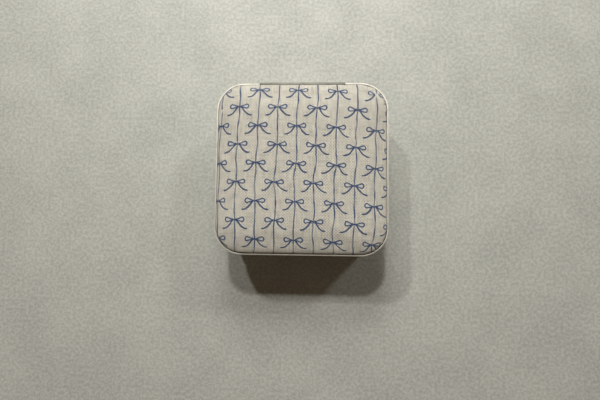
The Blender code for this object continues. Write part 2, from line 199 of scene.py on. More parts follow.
class Workpiece:
    """One mesh object on the bench, shaped with operators and modifiers, with its place in its mesh."""

    def __init__(self, name: str) -> None:
        """Takes the active object as the new piece.

        Args:
            name: Name of the finished piece.
        """
        self.thing = bpy.context.active_object
        self.thing.name = name
        self.thing.data.name = name
        self.settle()

    @classmethod
    def block(cls, name: str, low: Vector, high: Vector) -> "Workpiece":
        """A block between two corners.

        Args:
            name: Name of the piece.
            low: Its lowest corner.
            high: Its highest corner.

        Returns:
            The block.
        """
        bpy.ops.object.select_all(action="DESELECT")
        bpy.ops.mesh.primitive_cube_add(size=1.0, location=(low + high) / 2, scale=high - low)
        return cls(name)

    @classmethod
    def rod(cls, name: str, centre: Vector, radius: float, depth: float, turn: tuple[float, float, float],
            sides: int) -> "Workpiece":
        """A round rod about its centre, turned from the Z axis by Euler angles.

        Args:
            name: Name of the piece.
            centre: Its middle.
            radius: Its radius.
            depth: Its length.
            turn: Its Euler angles.
            sides: Facets round it.

        Returns:
            The rod.
        """
        bpy.ops.object.select_all(action="DESELECT")
        bpy.ops.mesh.primitive_cylinder_add(
            vertices=sides, radius=radius, depth=depth, location=centre, rotation=turn
        )
        return cls(name)

    @classmethod
    def slab(cls, name: str, outline: Outline, low: float, high: float) -> "Workpiece":
        """An upright block with the outline's rounded corners.

        Args:
            name: Name of the piece.
            outline: Its outline in plan.
            low: Height of its underside.
            high: Height of its top.

        Returns:
            The slab.
        """
        half = outline.half
        piece = cls.block(name, Vector((-half, -half, low)), Vector((half, half, high)))
        with piece.selected(edges=upright_edge):
            bpy.ops.mesh.bevel(
                offset=outline.corner, segments=CORNER_STEPS, affect="EDGES", clamp_overlap=False
            )
        return piece

    @classmethod
    def copy_of(cls, name: str, node: str) -> "Workpiece":
        """A copy of a CAD node with its loose triangles joined into clean faces.

        Args:
            name: Name of the piece.
            node: The CAD node.

        Returns:
            The copy.
        """
        bpy.ops.object.select_all(action="DESELECT")
        thing = bpy.data.objects.new(name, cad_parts[node].data.copy())
        bpy.context.scene.collection.objects.link(thing)
        activate(thing)
        piece = cls(name)
        piece.thing.data.materials.clear()
        for attribute in [a.name for a in piece.thing.data.uv_layers]:
            piece.thing.data.uv_layers.remove(piece.thing.data.uv_layers[attribute])
        bpy.ops.mesh.customdata_custom_splitnormals_clear()
        with piece.selected(faces=lambda face: True):
            bpy.ops.mesh.remove_doubles(threshold=0.002 * MM)
            bpy.ops.mesh.dissolve_limited(angle_limit=math.radians(0.6))
        return piece

    def settle(self) -> None:
        """Moves the object's place, turn and scale into its mesh."""
        activate(self.thing)
        bpy.ops.object.transform_apply(location=True, rotation=True, scale=True)

    @contextmanager
    def selected(self, faces: FaceTest | None = None, edges: EdgeTest | None = None) -> Iterator[None]:
        """Edit mode with the chosen faces or edges selected and nothing else.

        Args:
            faces: Test for the faces to select.
            edges: Test for the edges to select, used where faces is None.
        """
        activate(self.thing)
        bpy.ops.object.mode_set(mode="EDIT")
        bpy.ops.mesh.select_mode(type="FACE" if faces else "EDGE")
        bpy.ops.mesh.select_all(action="DESELECT")
        bm = bmesh.from_edit_mesh(self.thing.data)
        bm.normal_update()
        test = faces or edges
        for item in bm.faces if faces else bm.edges:
            if test(item):
                item.select_set(True)
        bm.select_flush_mode()
        bmesh.update_edit_mesh(self.thing.data)
        yield
        bpy.ops.object.mode_set(mode="OBJECT")

    def modify(self, kind: str, **settings: object) -> "Workpiece":
        """Adds a modifier with its settings and applies it.

        Args:
            kind: Type of the modifier.
            **settings: Its settings.

        Returns:
            The piece.
        """
        activate(self.thing)
        change = self.thing.modifiers.new(kind.lower(), kind)
        for setting, value in settings.items():
            setattr(change, setting, value)
        bpy.ops.object.modifier_apply(modifier=change.name)
        return self

    def bevel(self, width: float, segments: int = 3, angle: float = 40.0) -> "Workpiece":
        """Rounds the edges that are sharper than an angle in degrees.

        Args:
            width: Width of the bevel.
            segments: Its facets.
            angle: The angle in degrees.

        Returns:
            The piece.
        """
        return self.modify(
            "BEVEL", width=width, segments=segments, limit_method="ANGLE",
            angle_limit=math.radians(angle), use_clamp_overlap=True, miter_outer="MITER_ARC",
        )

    def thicken(self, thickness: float) -> "Workpiece":
        """Gives an outer surface its wall, inwards."""
        return self.modify("SOLIDIFY", thickness=thickness, offset=-1.0, use_even_offset=True)

    def cut(self, cutter: "Workpiece", operation: str = "DIFFERENCE") -> "Workpiece":
        """Cuts away another piece, or joins or keeps it, and leaves that piece as it is."""
        return self.modify("BOOLEAN", object=cutter.thing, operation=operation, solver="EXACT")

    def drop(self) -> None:
        """Takes the piece off the bench."""
        bpy.data.objects.remove(self.thing)

    def smooth(self, angle: float = 40.0) -> "Workpiece":
        """Shades the piece smooth but for edges sharper than an angle in degrees.

        Args:
            angle: The angle in degrees.

        Returns:
            The piece.
        """
        activate(self.thing)
        bpy.ops.object.shade_smooth_by_angle(angle=math.radians(angle))
        return self

    def shift(self, move: Callable[[Vector], Vector]) -> "Workpiece":
        """Moves every vertex by what a function gives for its place.

        Args:
            move: Gives the move for a place.

        Returns:
            The piece.
        """
        for vertex in self.thing.data.vertices:
            vertex.co += move(vertex.co.copy())
        self.thing.data.update()
        return self

    def lay_cloth(self, unroll: Unroll) -> "Workpiece":
        """Writes the cloth map: where each corner of each face lies on the flat cloth, in metres.

        Args:
            unroll: Gives the place on the flat cloth of a point and of its face's middle.

        Returns:
            The piece.
        """
        mesh = self.thing.data
        layer = mesh.uv_layers.get(CLOTH_MAP) or mesh.uv_layers.new(name=CLOTH_MAP)
        for face in mesh.polygons:
            for corner in face.loop_indices:
                place = mesh.vertices[mesh.loops[corner].vertex_index].co
                layer.data[corner].uv = unroll(place, face.center)
        return self

    def install(self, material: bpy.types.Material, slot: Slot, body: Body,
                *nodes: str) -> bpy.types.Object:
        """Gives the piece its finish and puts it on its body in place of CAD nodes.

        Args:
            material: Its finish.
            slot: The slot for that finish; not used.
            body: The body that it rides on.
            *nodes: The CAD nodes that it stands for.

        Returns:
            The finished object.
        """
        self.thing.data.materials.clear()
        self.thing.data.materials.append(material)
        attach(self.thing, body.value)
        if nodes:
            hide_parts(*nodes)
        LOG.info("%s: %d faces, rides on %s", self.thing.name, len(self.thing.data.polygons), body.value)
        return self.thing


@dataclass(frozen=True)
class Stuffing:
    """How a padded piece is filled: remeshed, blown up as cloth, and held within a limit.

    Attributes:
        voxel: Size of the remeshed faces.
        pressure: Pressure inside the cloth.
        limit: The furthest that a point may move.
        scale: How much larger the cloth is while it is simulated.
        frames: Length of the simulation.
        stiffness: How hard the cloth is to fold.
        evening: How often the blown-up cloth is evened out.
        quality: Steps of the cloth for each frame.
    """

    voxel: float = 1.5 * MM
    pressure: float = 4.0
    limit: float = 1.0 * MM
    scale: float = 5.0
    frames: int = 20
    stiffness: float = 2.0
    evening: int = 4
    quality: int = 6

    def remesh(self, piece: Workpiece) -> None:
        """Turns a closed piece into even faces."""
        piece.modify("REMESH", mode="VOXEL", voxel_size=self.voxel, use_smooth_shade=True)
        piece.modify("SMOOTH", factor=0.5, iterations=3)

    def fill(self, piece: Workpiece, held: Callable[[Vector], bool]) -> None:
        """Blows the piece up under its cloth, then halves its faces' size.

        Args:
            piece: The piece to fill, already remeshed.
            held: Whether a point of the piece stays where it is.
        """
        self._simulate(piece, held)
        piece.modify("SMOOTH", factor=0.5, iterations=self.evening)
        piece.modify("SUBSURF", levels=1, render_levels=1)

    def _simulate(self, piece: Workpiece, held: Callable[[Vector], bool]) -> None:
        """Runs the cloth and applies it.

        Args:
            piece: The piece to fill.
            held: Whether a point of the piece stays where it is.
        """
        thing = piece.thing
        before = [vertex.co.copy() for vertex in thing.data.vertices]
        pins = thing.vertex_groups.new(name="held")
        pins.add([i for i, place in enumerate(before) if held(place)], 1.0, "REPLACE")
        thing.data.transform(Matrix.Scale(self.scale, 4))
        activate(thing)
        cloth = thing.modifiers.new("cloth", "CLOTH")
        cloth.settings.quality = self.quality
        cloth.settings.bending_stiffness = self.stiffness
        cloth.settings.use_pressure = True
        cloth.settings.uniform_pressure_force = self.pressure
        cloth.settings.vertex_group_mass = pins.name
        cloth.settings.effector_weights.gravity = 0.0
        cloth.point_cache.frame_start = 1
        cloth.point_cache.frame_end = self.frames
        scene = bpy.context.scene
        for step in range(1, self.frames + 1):
            scene.frame_set(step)
        bpy.ops.object.modifier_apply(modifier=cloth.name)
        scene.frame_set(1)
        thing.data.transform(Matrix.Scale(1.0 / self.scale, 4))
        furthest = 0.0
        for vertex, place in zip(thing.data.vertices, before):
            move = vertex.co - place
            furthest = max(furthest, move.length)
            if move.length > self.limit:
                vertex.co = place + move.normalized() * self.limit
        thing.vertex_groups.clear()
        thing.data.update()
        LOG.info("%s: cloth moved up to %.2f mm", thing.name, furthest / MM)


# ---------------------------------------------------------------- finishes

class Field:
    """A number that varies over a surface, with the usual arithmetic."""

    def __init__(self, tree: bpy.types.NodeTree, socket: bpy.types.NodeSocket) -> None:
        """Takes the socket that gives the number."""
        self.tree = tree
        self.socket = socket

    def apply(self, operation: str, *others: "Field | float") -> "Field":
        """The result of a math operation on this number and others."""
        return calculate(self.tree, operation, self, *others)

    def __add__(self, other: "Field | float") -> "Field":
        """Sum."""
        return self.apply("ADD", other)

    def __sub__(self, other: "Field | float") -> "Field":
        """Difference."""
        return self.apply("SUBTRACT", other)

    def __rsub__(self, other: float) -> "Field":
        """Difference from a plain number."""
        return calculate(self.tree, "SUBTRACT", other, self)

    def __mul__(self, other: "Field | float") -> "Field":
        """Product."""
        return self.apply("MULTIPLY", other)

    def __truediv__(self, other: "Field | float") -> "Field":
        """Quotient."""
        return self.apply("DIVIDE", other)

    def __abs__(self) -> "Field":
        """Size without sign."""
        return self.apply("ABSOLUTE")

    __radd__ = __add__
    __rmul__ = __mul__

    def span(self, low: float, high: float, start: float = 0.0, end: float = 1.0) -> "Field":
        """Goes smoothly from start to end while the number goes from low to high.

        Args:
            low: Where the result leaves start.
            high: Where the result reaches end.
            start: Result below low.
            end: Result above high.

        Returns:
            The result.
        """
        node = self.tree.nodes.new("ShaderNodeMapRange")
        node.interpolation_type = "SMOOTHSTEP"
        for name, value in (("From Min", low), ("From Max", high), ("To Min", start), ("To Max", end)):
            node.inputs[name].default_value = value
        self.tree.links.new(self.socket, node.inputs["Value"])
        return Field(self.tree, node.outputs["Result"])


def calculate(tree: bpy.types.NodeTree, operation: str, *values: "Field | float") -> Field:
    """A math node.

    Args:
        tree: The node tree to add it to.
        operation: Name of the math operation.
        *values: Its inputs in order.

    Returns:
        The node's result.
    """
    node = tree.nodes.new("ShaderNodeMath")
    node.operation = operation
    for place, value in zip(node.inputs, values):
        if isinstance(value, Field):
            tree.links.new(value.socket, place)
        else:
            place.default_value = value
    return Field(tree, node.outputs[0])


def toned(colour: Colour, red: float, green: float | None = None, blue: float | None = None) -> Colour:
    """A colour multiplied by one factor, or by one for each channel, and kept within 1."""
    factors = (red, red if green is None else green, red if blue is None else blue)
    return tuple(min(1.0, channel * factor) for channel, factor in zip(colour, factors))


def hypotenuse(a: Field, b: Field) -> Field:
    """Length of a step of a across and b along."""
    return (a * a + b * b).apply("SQRT")


class Graph:
    """The node tree of one material, with its principled shader."""

    def __init__(self, name: str) -> None:
        """Makes an empty material of that name.

        Args:
            name: Name of the material.
        """
        self.material = bpy.data.materials.new(name)
        self.material.use_nodes = True
        self.tree = self.material.node_tree
        self.shader = self.tree.nodes["Principled BSDF"]

    def link(self, socket: bpy.types.NodeSocket, name: str) -> None:
        """Joins a socket to one of the shader's inputs."""
        self.tree.links.new(socket, self.shader.inputs[name])

    def constants(self, **values: float | Colour) -> None:
        """Sets the shader's own sockets; an underscore stands for a space in a socket's name.

        Args:
            **values: The values, by the name of the socket.
        """
        for key, value in values.items():
            socket = self.shader.inputs[key.replace("_", " ")]
            socket.default_value = (*value, 1.0) if isinstance(value, tuple) else value

    def object_place(self, stretch: Stretch = (1.0, 1.0, 1.0)) -> bpy.types.NodeSocket:
        """Object coordinates, stretched along each axis."""
        place = self.tree.nodes.new("ShaderNodeTexCoord").outputs["Object"]
        return self.scaled(place, stretch)

    def cloth_place(self, scale: float = 1.0) -> bpy.types.NodeSocket:
        """The cloth map's coordinates times a scale.

        Args:
            scale: The scale.

        Returns:
            The coordinates.
        """
        node = self.tree.nodes.new("ShaderNodeUVMap")
        node.uv_map = CLOTH_MAP
        return self.scaled(node.outputs["UV"], (scale, scale, scale))

    def scaled(self, place: bpy.types.NodeSocket, factors: Stretch) -> bpy.types.NodeSocket:
        """A place multiplied along each axis.

        Args:
            place: The place.
            factors: The factor for each axis.

        Returns:
            The new place.
        """
        node = self.tree.nodes.new("ShaderNodeVectorMath")
        node.operation = "MULTIPLY"
        self.tree.links.new(place, node.inputs[0])
        node.inputs[1].default_value = factors
        return node.outputs["Vector"]

    def parts(self, place: bpy.types.NodeSocket) -> tuple[Field, Field]:
        """The first two numbers of a place.

        Args:
            place: The place.

        Returns:
            Its X and its Y.
        """
        node = self.tree.nodes.new("ShaderNodeSeparateXYZ")
        self.tree.links.new(place, node.inputs[0])
        return Field(self.tree, node.outputs["X"]), Field(self.tree, node.outputs["Y"])

    def grain(self, place: bpy.types.NodeSocket, scale: float, detail: float = 3.0,
              roughness: float = 0.5) -> Field:
        """Noise from 0 to 1.

        Args:
            place: The place that it reads.
            scale: Its scale.
            detail: Its finer layers.
            roughness: How strong the finer layers are.

        Returns:
            The noise.
        """
        node = self.tree.nodes.new("ShaderNodeTexNoise")
        self.tree.links.new(place, node.inputs["Vector"])
        node.inputs["Scale"].default_value = scale
        node.inputs["Detail"].default_value = detail
        node.inputs["Roughness"].default_value = roughness
        return Field(self.tree, node.outputs["Fac"])

    def cells(self, place: bpy.types.NodeSocket, scale: float) -> Field:
        """Distance to the nearest of scattered points.

        Args:
            place: The place that it reads.
            scale: Its scale.

        Returns:
            The distance.
        """
        node = self.tree.nodes.new("ShaderNodeTexVoronoi")
        self.tree.links.new(place, node.inputs["Vector"])
        node.inputs["Scale"].default_value = scale
        return Field(self.tree, node.outputs["Distance"])

    def blend(self, share: Field, first: "Colour | bpy.types.NodeSocket",
              second: "Colour | bpy.types.NodeSocket") -> bpy.types.NodeSocket:
        """A colour that goes from the first to the second with a share.

        Args:
            share: How much there is of the second.
            first: Colour where the share is 0.
            second: Colour where the share is 1.

        Returns:
            The colour.
        """
        node = self.tree.nodes.new("ShaderNodeMix")
        node.data_type = "RGBA"
        node.clamp_factor = True
        self.tree.links.new(share.socket, node.inputs["Factor"])
        for name, colour in (("A", first), ("B", second)):
            socket = next(s for s in node.inputs if s.name == name and s.type == "RGBA")
            if isinstance(colour, tuple):
                socket.default_value = (*colour, 1.0)
            else:
                self.tree.links.new(colour, socket)
        return next(s for s in node.outputs if s.type == "RGBA")

    def relief(self, height: Field, depth: float, strength: float = 1.0) -> None:
        """Bumps the surface by a height from 0 to 1 times a depth in metres.

        Args:
            height: The height.
            depth: The depth in metres.
            strength: How strongly it shows.
        """
        node = self.tree.nodes.new("ShaderNodeBump")
        node.inputs["Strength"].default_value = strength
        node.inputs["Distance"].default_value = depth
        self.tree.links.new(height.socket, node.inputs["Height"])
        self.link(node.outputs["Normal"], "Normal")


class Finish:
    """A finish that is laid on one material."""

    name: str

    def paint(self, graph: Graph) -> None:
        """Joins the nodes of the finish to the shader.

        Args:
            graph: The material's nodes.
        """
        raise NotImplementedError

    def material(self) -> bpy.types.Material:
        """Builds the material.

        Returns:
            The painted material.
        """
        graph = Graph(self.name)
        self.paint(graph)
        return graph.material


@dataclass(frozen=True)
class RibbonPrint:
    """Thin waving ribbons in columns, with small bows tied on them in a half-drop repeat.

    All its sizes are in millimetres.

    Attributes:
        column: Distance between two ribbons.
        repeat: Distance between two bows of one ribbon.
        turn: How far the print is turned on the cloth, in degrees.
        origin: Place of one knot on the cloth.
        stroke: Half the width of a stroke.
        tremble: How far the hand that drew it strays.
        sway: How far the ribbons sway as they go down the cloth.
        sag: How far the rows sag at a sag_reach from their middle.
        sag_middle: Where the rows' middle is, across the cloth.
        sag_reach: Where the rows' sag is measured, from their middle.
        knot: Half the width of the knot's bar.
        loop: Length of a loop.
        loop_rise: How far a loop's end lies above the knot.
        loop_round: Radius of a loop's end, and of its start at the knot.
        tail: Width of a falling tail.
        tail_fall: How far a tail falls.
        tail_curl: How strongly a tail levels out at its end.
    """

    column: float = 11.25
    repeat: float = 21.65
    turn: float = -1.4
    origin: tuple[float, float] = (-2.5, 23.6)
    stroke: float = 0.39
    tremble: float = 0.85
    sway: float = 4.2
    sag: float = 1.4
    sag_middle: float = -8.0
    sag_reach: float = 50.0
    knot: float = 1.25
    loop: float = 2.85
    loop_rise: float = 0.25
    loop_round: tuple[float, float] = (1.2, 0.2)
    tail: float = 5.7
    tail_fall: float = 4.8
    tail_curl: float = 2.2

    def draw(self, graph: Graph, place: bpy.types.NodeSocket) -> tuple[Field, Field]:
        """Draws the print.

        Args:
            graph: The material's nodes.
            place: Place on the cloth in millimetres.

        Returns:
            How much ink there is, from 0 to 1, and how far a point is inside a bow's loop.
        """
        x, y = graph.parts(place)
        x, y = x - self.origin[0], y - self.origin[1]
        cosine, sine = math.cos(math.radians(self.turn)), math.sin(math.radians(self.turn))
        bent = (x + (self.origin[0] - self.sag_middle)) / self.sag_reach
        x, y = x * cosine + y * sine, y * cosine - x * sine + bent * bent * self.sag
        x = x + (graph.grain(graph.scaled(place, (0.3, 1.0, 1.0)), 0.055, 1.0) - 0.5) * self.sway
        x = x + (graph.grain(place, 0.23, 2.0) - 0.5) * self.tremble
        x = x + (graph.grain(place, 0.9, 0.0) - 0.5) * 0.3 * self.tremble
        y = y + (graph.grain(graph.scaled(place, (1.0, -1.0, 1.0)), 0.21, 2.0) - 0.5) * self.tremble
        ink, inside = None, None
        for odd in (0, 1):
            shifted_x, shifted_y = x - odd * self.column, y - odd * self.repeat / 2
            near_x = shifted_x - (shifted_x / (2 * self.column)).apply("ROUND") * (2 * self.column)
            near_y = shifted_y - (shifted_y / self.repeat).apply("ROUND") * self.repeat
            mark, hollow = self._bow(near_x, near_y)
            ink = mark if ink is None else ink.apply("MAXIMUM", mark)
            inside = hollow if inside is None else inside.apply("MAXIMUM", hollow)
        ribbon = abs(x - (x / self.column).apply("ROUND") * self.column)
        faded = graph.grain(graph.scaled(place, (0.12, 1.0, 1.0)), 0.16, 1.0).span(0.35, 0.62, 0.62, 1.0)
        ribbon = ribbon.span(self.stroke * 0.65, self.stroke * 1.35, 1.0, 0.0) * faded
        return ink.apply("MAXIMUM", ribbon), inside

    def _bow(self, x: Field, y: Field) -> tuple[Field, Field]:
        """Draws one bow about its knot: a short bar, two drop-shaped loops and two falling tails.

        Args:
            x: Place across, from the knot.
            y: Place up, from the knot.

        Returns:
            How much ink there is, and how far the point is inside a loop.
        """
        knot, loop, rise = self.knot, self.loop, self.loop_rise
        tail, fall, curl = self.tail, self.tail_fall, self.tail_curl
        end_radius, start_radius = self.loop_round
        side = abs(x)
        bar = hypotenuse((side - knot).apply("MAXIMUM", 0.0), y)
        across, up = side - knot, y - 0.05
        share = ((across * loop + up * rise) / (loop * loop + rise * rise)).apply("MAXIMUM", 0.0)
        share = share.apply("MINIMUM", 1.0)
        radius = share * (end_radius - start_radius) + start_radius
        drop = hypotenuse(across - share * loop, up - share * rise) - radius
        left = (1.0 - (side - knot) / tail).apply("MAXIMUM", 0.0).apply("MINIMUM", 1.0)
        height = y + (1.0 - left.apply("POWER", curl)) * fall
        slope = left.apply("POWER", curl - 1.0) * (fall * curl / tail)
        steep = (slope * slope + 1.0).apply("SQRT")
        beyond = (side - (knot + tail)).apply("MAXIMUM", 0.0)
        before = (knot * 0.9 - side).apply("MAXIMUM", 0.0)
        falling = hypotenuse(height / steep, beyond + before)
        thick, thin = self.stroke, self.stroke * 0.9
        heavy = bar.apply("MINIMUM", falling).span(thick * 0.8, thick * 1.4, 1.0, 0.0)
        light = abs(drop).span(thin * 0.75, thin * 1.4, 1.0, 0.0)
        return heavy.apply("MAXIMUM", light), drop.span(-0.5, -0.15, 1.0, 0.0)


@dataclass(frozen=True)
class PrintedLinen(Finish):
    """Plain-woven linen-look cloth with the ribbon print, which reads the cloth map.

    Attributes:
        name: Name of the material.
        cloth: Colour of the unprinted cloth.
        ink: Colour of the print.
        thread: Pitch of the threads in millimetres.
        ribbons: The print.
    """

    name: str = "printed_linen"
    cloth: Colour = (0.505, 0.487, 0.435)
    ink: Colour = (0.008, 0.036, 0.122)
    thread: float = 0.85
    ribbons: RibbonPrint = field(default_factory=RibbonPrint)

    def paint(self, graph: Graph) -> None:
        """Joins the nodes of the finish to the shader.

        Args:
            graph: The material's nodes.
        """
        place = graph.cloth_place(1.0 / MM)
        x, y = graph.parts(place)
        wobble = (graph.grain(place, 0.5, 1.0) - 0.5) * 0.5
        warp = ((x + wobble) * (math.pi / self.thread)).apply("SINE")
        weft = ((y + wobble) * (math.pi / self.thread)).apply("SINE")
        over = warp * weft
        threads_x = graph.grain(graph.scaled(place, (1.0, 0.06, 1.0)), 2.0, 1.0)
        threads_y = graph.grain(graph.scaled(place, (0.06, 1.0, 1.0)), 2.0, 1.0)
        slub = (threads_x + threads_y) * 0.5
        weave = over * 0.5 + 0.5
        tone = slub.span(0.34, 0.66) * 0.36 + weave * 0.64
        dark, pale = toned(self.cloth, 0.30), toned(self.cloth, 1.62)
        cloth = graph.blend(tone, dark, pale)
        mottle = graph.grain(place, 0.32, 3.0, 0.6)
        rosy = toned(self.cloth, 1.06, 0.95, 0.97)
        green = toned(self.cloth, 0.96, 1.02, 0.95)
        cloth = graph.blend(mottle.span(0.52, 0.72, 0.0, 0.55), cloth, rosy)
        cloth = graph.blend(mottle.span(0.30, 0.47, 0.5, 0.0), cloth, green)
        ink, inside = self.ribbons.draw(graph, place)
        loop_tint = toned(self.cloth, 0.93, 1.0, 1.16)
        cloth = graph.blend(inside * 0.6, cloth, loop_tint)
        worn = tone.span(0.1, 0.9, 1.0, 0.88)
        faded_ink = toned(self.ink, 1.9, 1.7, 1.25)
        fading = graph.grain(place, 1.4, 2.0).span(0.45, 0.75, 0.0, 0.6)
        colour = graph.blend(fading, self.ink, faded_ink)
        graph.link(graph.blend(ink * worn, cloth, colour), "Base Color")
        graph.link(slub.span(0.3, 0.7, 0.95, 0.78).socket, "Roughness")
        graph.relief(over * 0.35 + slub * 0.9, 0.16 * MM, 0.75)
        graph.constants(Sheen_Weight=0.12, Sheen_Roughness=0.5, Specular_IOR_Level=0.25)


@dataclass(frozen=True)
class PlatedMetal(Finish):
    """Pressed and plated metal, with fine rubbing marks and small dull patches.

    Attributes:
        name: Name of the material.
        plating: Colour of the plating.
        polish: Roughness where it is cleanest.
        rubbing: Directions' stretch of the rubbing marks.
    """

    name: str
    plating: Colour
    polish: float = 0.3
    rubbing: Stretch = (0.05, 0.05, 1.0)

    def paint(self, graph: Graph) -> None:
        """Joins the nodes of the finish to the shader.

        Args:
            graph: The material's nodes.
        """
        rubbed = graph.grain(graph.object_place(self.rubbing), 9000.0, 2.0)
        dull = graph.grain(graph.object_place(), 220.0, 4.0, 0.62)
        spots = graph.grain(graph.object_place(), 2600.0, 2.0)
        roughness = dull.span(0.4, 0.7) * 0.16 + rubbed * 0.12 + self.polish
        graph.link(roughness.socket, "Roughness")
        colour = graph.blend(dull.span(0.52, 0.78, 0.0, 0.55), self.plating, toned(self.plating, 0.72))
        worn = spots.span(0.60, 0.72, 0.0, 0.7)
        graph.link(graph.blend(worn, colour, toned(self.plating, 1.12)), "Base Color")
        graph.relief(rubbed * 0.6 + spots * 0.4, 0.012 * MM, 0.6)
        graph.constants(Metallic=1.0)


@dataclass(frozen=True)
class Pile(Finish):
    """Velvet or suede: a short pile that lies this way and that.

    Attributes:
        name: Name of the material.
        shade: Colour of the pile where it lies away from the light.
        sheen: Colour of its sheen.
        sheen_weight: How strong the sheen is.
        nap: Size of one stroked patch in metres.
    """

    name: str
    shade: Colour
    sheen: Colour
    sheen_weight: float = 0.8
    nap: float = 9.0 * MM

    def paint(self, graph: Graph) -> None:
        """Joins the nodes of the finish to the shader.

        Args:
            graph: The material's nodes.
        """
        place = graph.object_place()
        patches = graph.grain(graph.object_place((1.0, 0.45, 0.7)), 1.0 / self.nap, 3.0, 0.6)
        fibres = graph.grain(place, 5200.0, 2.0, 0.7)
        crushed = graph.grain(place, 620.0, 4.0, 0.65)
        light = tuple(min(1.0, c * 1.9 + 0.01) for c in self.shade)
        tone = patches.span(0.34, 0.68) * 0.45 + fibres * 0.3 + crushed * 0.25
        graph.link(graph.blend(tone, self.shade, light), "Base Color")
        graph.link(crushed.span(0.3, 0.7, 0.98, 0.82).socket, "Roughness")
        graph.relief(fibres * 0.5 + crushed * 0.6 + patches * 0.3, 0.22 * MM, 0.6)
        graph.constants(Sheen_Weight=self.sheen_weight, Sheen_Roughness=0.35, Sheen_Tint=self.sheen)
        graph.constants(Specular_IOR_Level=0.15)


@dataclass(frozen=True)
class Fibreboard(Finish):
    """Pressed brown board with short fibres."""

    name: str = "fibreboard"
    shade: Colour = (0.34, 0.24, 0.145)

    def paint(self, graph: Graph) -> None:
        """Joins the nodes of the finish to the shader.

        Args:
            graph: The material's nodes.
        """
        fibres = graph.grain(graph.object_place((1.0, 0.35, 2.4)), 1900.0, 4.0, 0.7)
        clumps = graph.grain(graph.object_place(), 240.0, 3.0, 0.6)
        share = fibres * 0.6 + clumps * 0.4
        graph.link(graph.blend(share, self.shade, toned(self.shade, 1.55)), "Base Color")
        graph.link(clumps.span(0.3, 0.7, 0.92, 0.74).socket, "Roughness")
        graph.relief(fibres, 0.1 * MM, 0.7)


@dataclass(frozen=True)
class OpenFoam(Finish):
    """Pale upholstery foam with small open cells."""

    name: str = "open_foam"
    shade: Colour = (0.62, 0.60, 0.52)

    def paint(self, graph: Graph) -> None:
        """Joins the nodes of the finish to the shader.

        Args:
            graph: The material's nodes.
        """
        cells = graph.cells(graph.object_place(), 1500.0)
        stains = graph.grain(graph.object_place(), 90.0, 3.0)
        # painted shade: the foam is darker down in its open cells, mixed with the stains' own tone
        share = cells.span(0.1, 0.6) * 0.8 + stains * 0.2
        graph.link(graph.blend(share, toned(self.shade, 0.62), self.shade), "Base Color")
        graph.link(stains.span(0.3, 0.7, 0.98, 0.86).socket, "Roughness")
        graph.relief(cells, 0.3 * MM, 0.8)


@dataclass(frozen=True)
class Silvering(Finish):
    """A glass mirror's silvered face with faint smears of handling."""

    name: str = "silvering"
    shade: Colour = (0.88, 0.90, 0.91)

    def paint(self, graph: Graph) -> None:
        """Joins the nodes of the finish to the shader.

        Args:
            graph: The material's nodes.
        """
        smear = graph.grain(graph.object_place((1.0, 0.4, 1.0)), 85.0, 4.0, 0.6)
        dust = graph.grain(graph.object_place(), 4200.0, 1.0)
        roughness = smear.span(0.48, 0.75) * 0.07 + dust.span(0.66, 0.74) * 0.1 + 0.015
        graph.link(roughness.socket, "Roughness")
        graph.link(graph.blend(smear.span(0.45, 0.8), self.shade, toned(self.shade, 0.93)), "Base Color")
        graph.constants(Metallic=1.0)


@dataclass(frozen=True)
class TableTop(Finish):
    """The pale, slightly mottled sheet that the box stands on."""

    name: str = "table_top"
    shade: Colour = (0.45, 0.46, 0.43)

    def paint(self, graph: Graph) -> None:
        """Joins the nodes of the finish to the shader.

        Args:
            graph: The material's nodes.
        """
        speckle = graph.grain(graph.object_place(), 520.0, 3.0, 0.75)
        clouds = graph.grain(graph.object_place(), 26.0, 4.0, 0.6)
        marks = graph.grain(graph.object_place((1.0, 0.5, 1.0)), 170.0, 3.0, 0.7)
        share = speckle.span(0.36, 0.64) * 0.7 + clouds.span(0.3, 0.7) * 0.3
        colour = graph.blend(share, toned(self.shade, 0.80), toned(self.shade, 1.18))
        stain = marks.span(0.68, 0.82, 0.0, 0.5)
        graph.link(graph.blend(stain, colour, toned(self.shade, 0.86)), "Base Color")
        graph.link(clouds.span(0.3, 0.7, 0.62, 0.5).socket, "Roughness")
        graph.relief(speckle, 0.2 * MM, 0.6)
        graph.constants(Specular_IOR_Level=0.3)


class Finishes:
    """Every material of the object, each made once."""

    def __init__(self) -> None:
        """Builds the materials."""
        self.linen = PrintedLinen().material()
        self.wrap_linen = PrintedLinen(
            name="printed_linen_wrap", ribbons=RibbonPrint(turn=0.6, origin=(4.0, 9.0))
        ).material()
        self.rim = PlatedMetal("rim_plating", (0.68, 0.66, 0.61), polish=0.56).material()
        # painted shade: the hinge leaves and their rivets get the rim's metal at under half its brightness,
        # a darker copy that stands in for the shade on the hinge
        self.hinge = PlatedMetal("shaded_hinge_plating", (0.31, 0.305, 0.275), 0.66, (0.04, 1.0, 1.0)).material()
        self.steel = PlatedMetal("bare_steel", (0.56, 0.56, 0.57), 0.3, (0.04, 1.0, 1.0)).material()
        self.velvet = Pile("velvet", (0.060, 0.085, 0.180), (0.50, 0.58, 0.85)).material()
        self.suede = Pile("suede", (0.060, 0.056, 0.052), (0.5, 0.48, 0.44), 0.35, 14.0 * MM).material()
        self.board = Fibreboard().material()
        self.foam = OpenFoam().material()
        self.silvering = Silvering().material()


# ---------------------------------------------------------------- rims

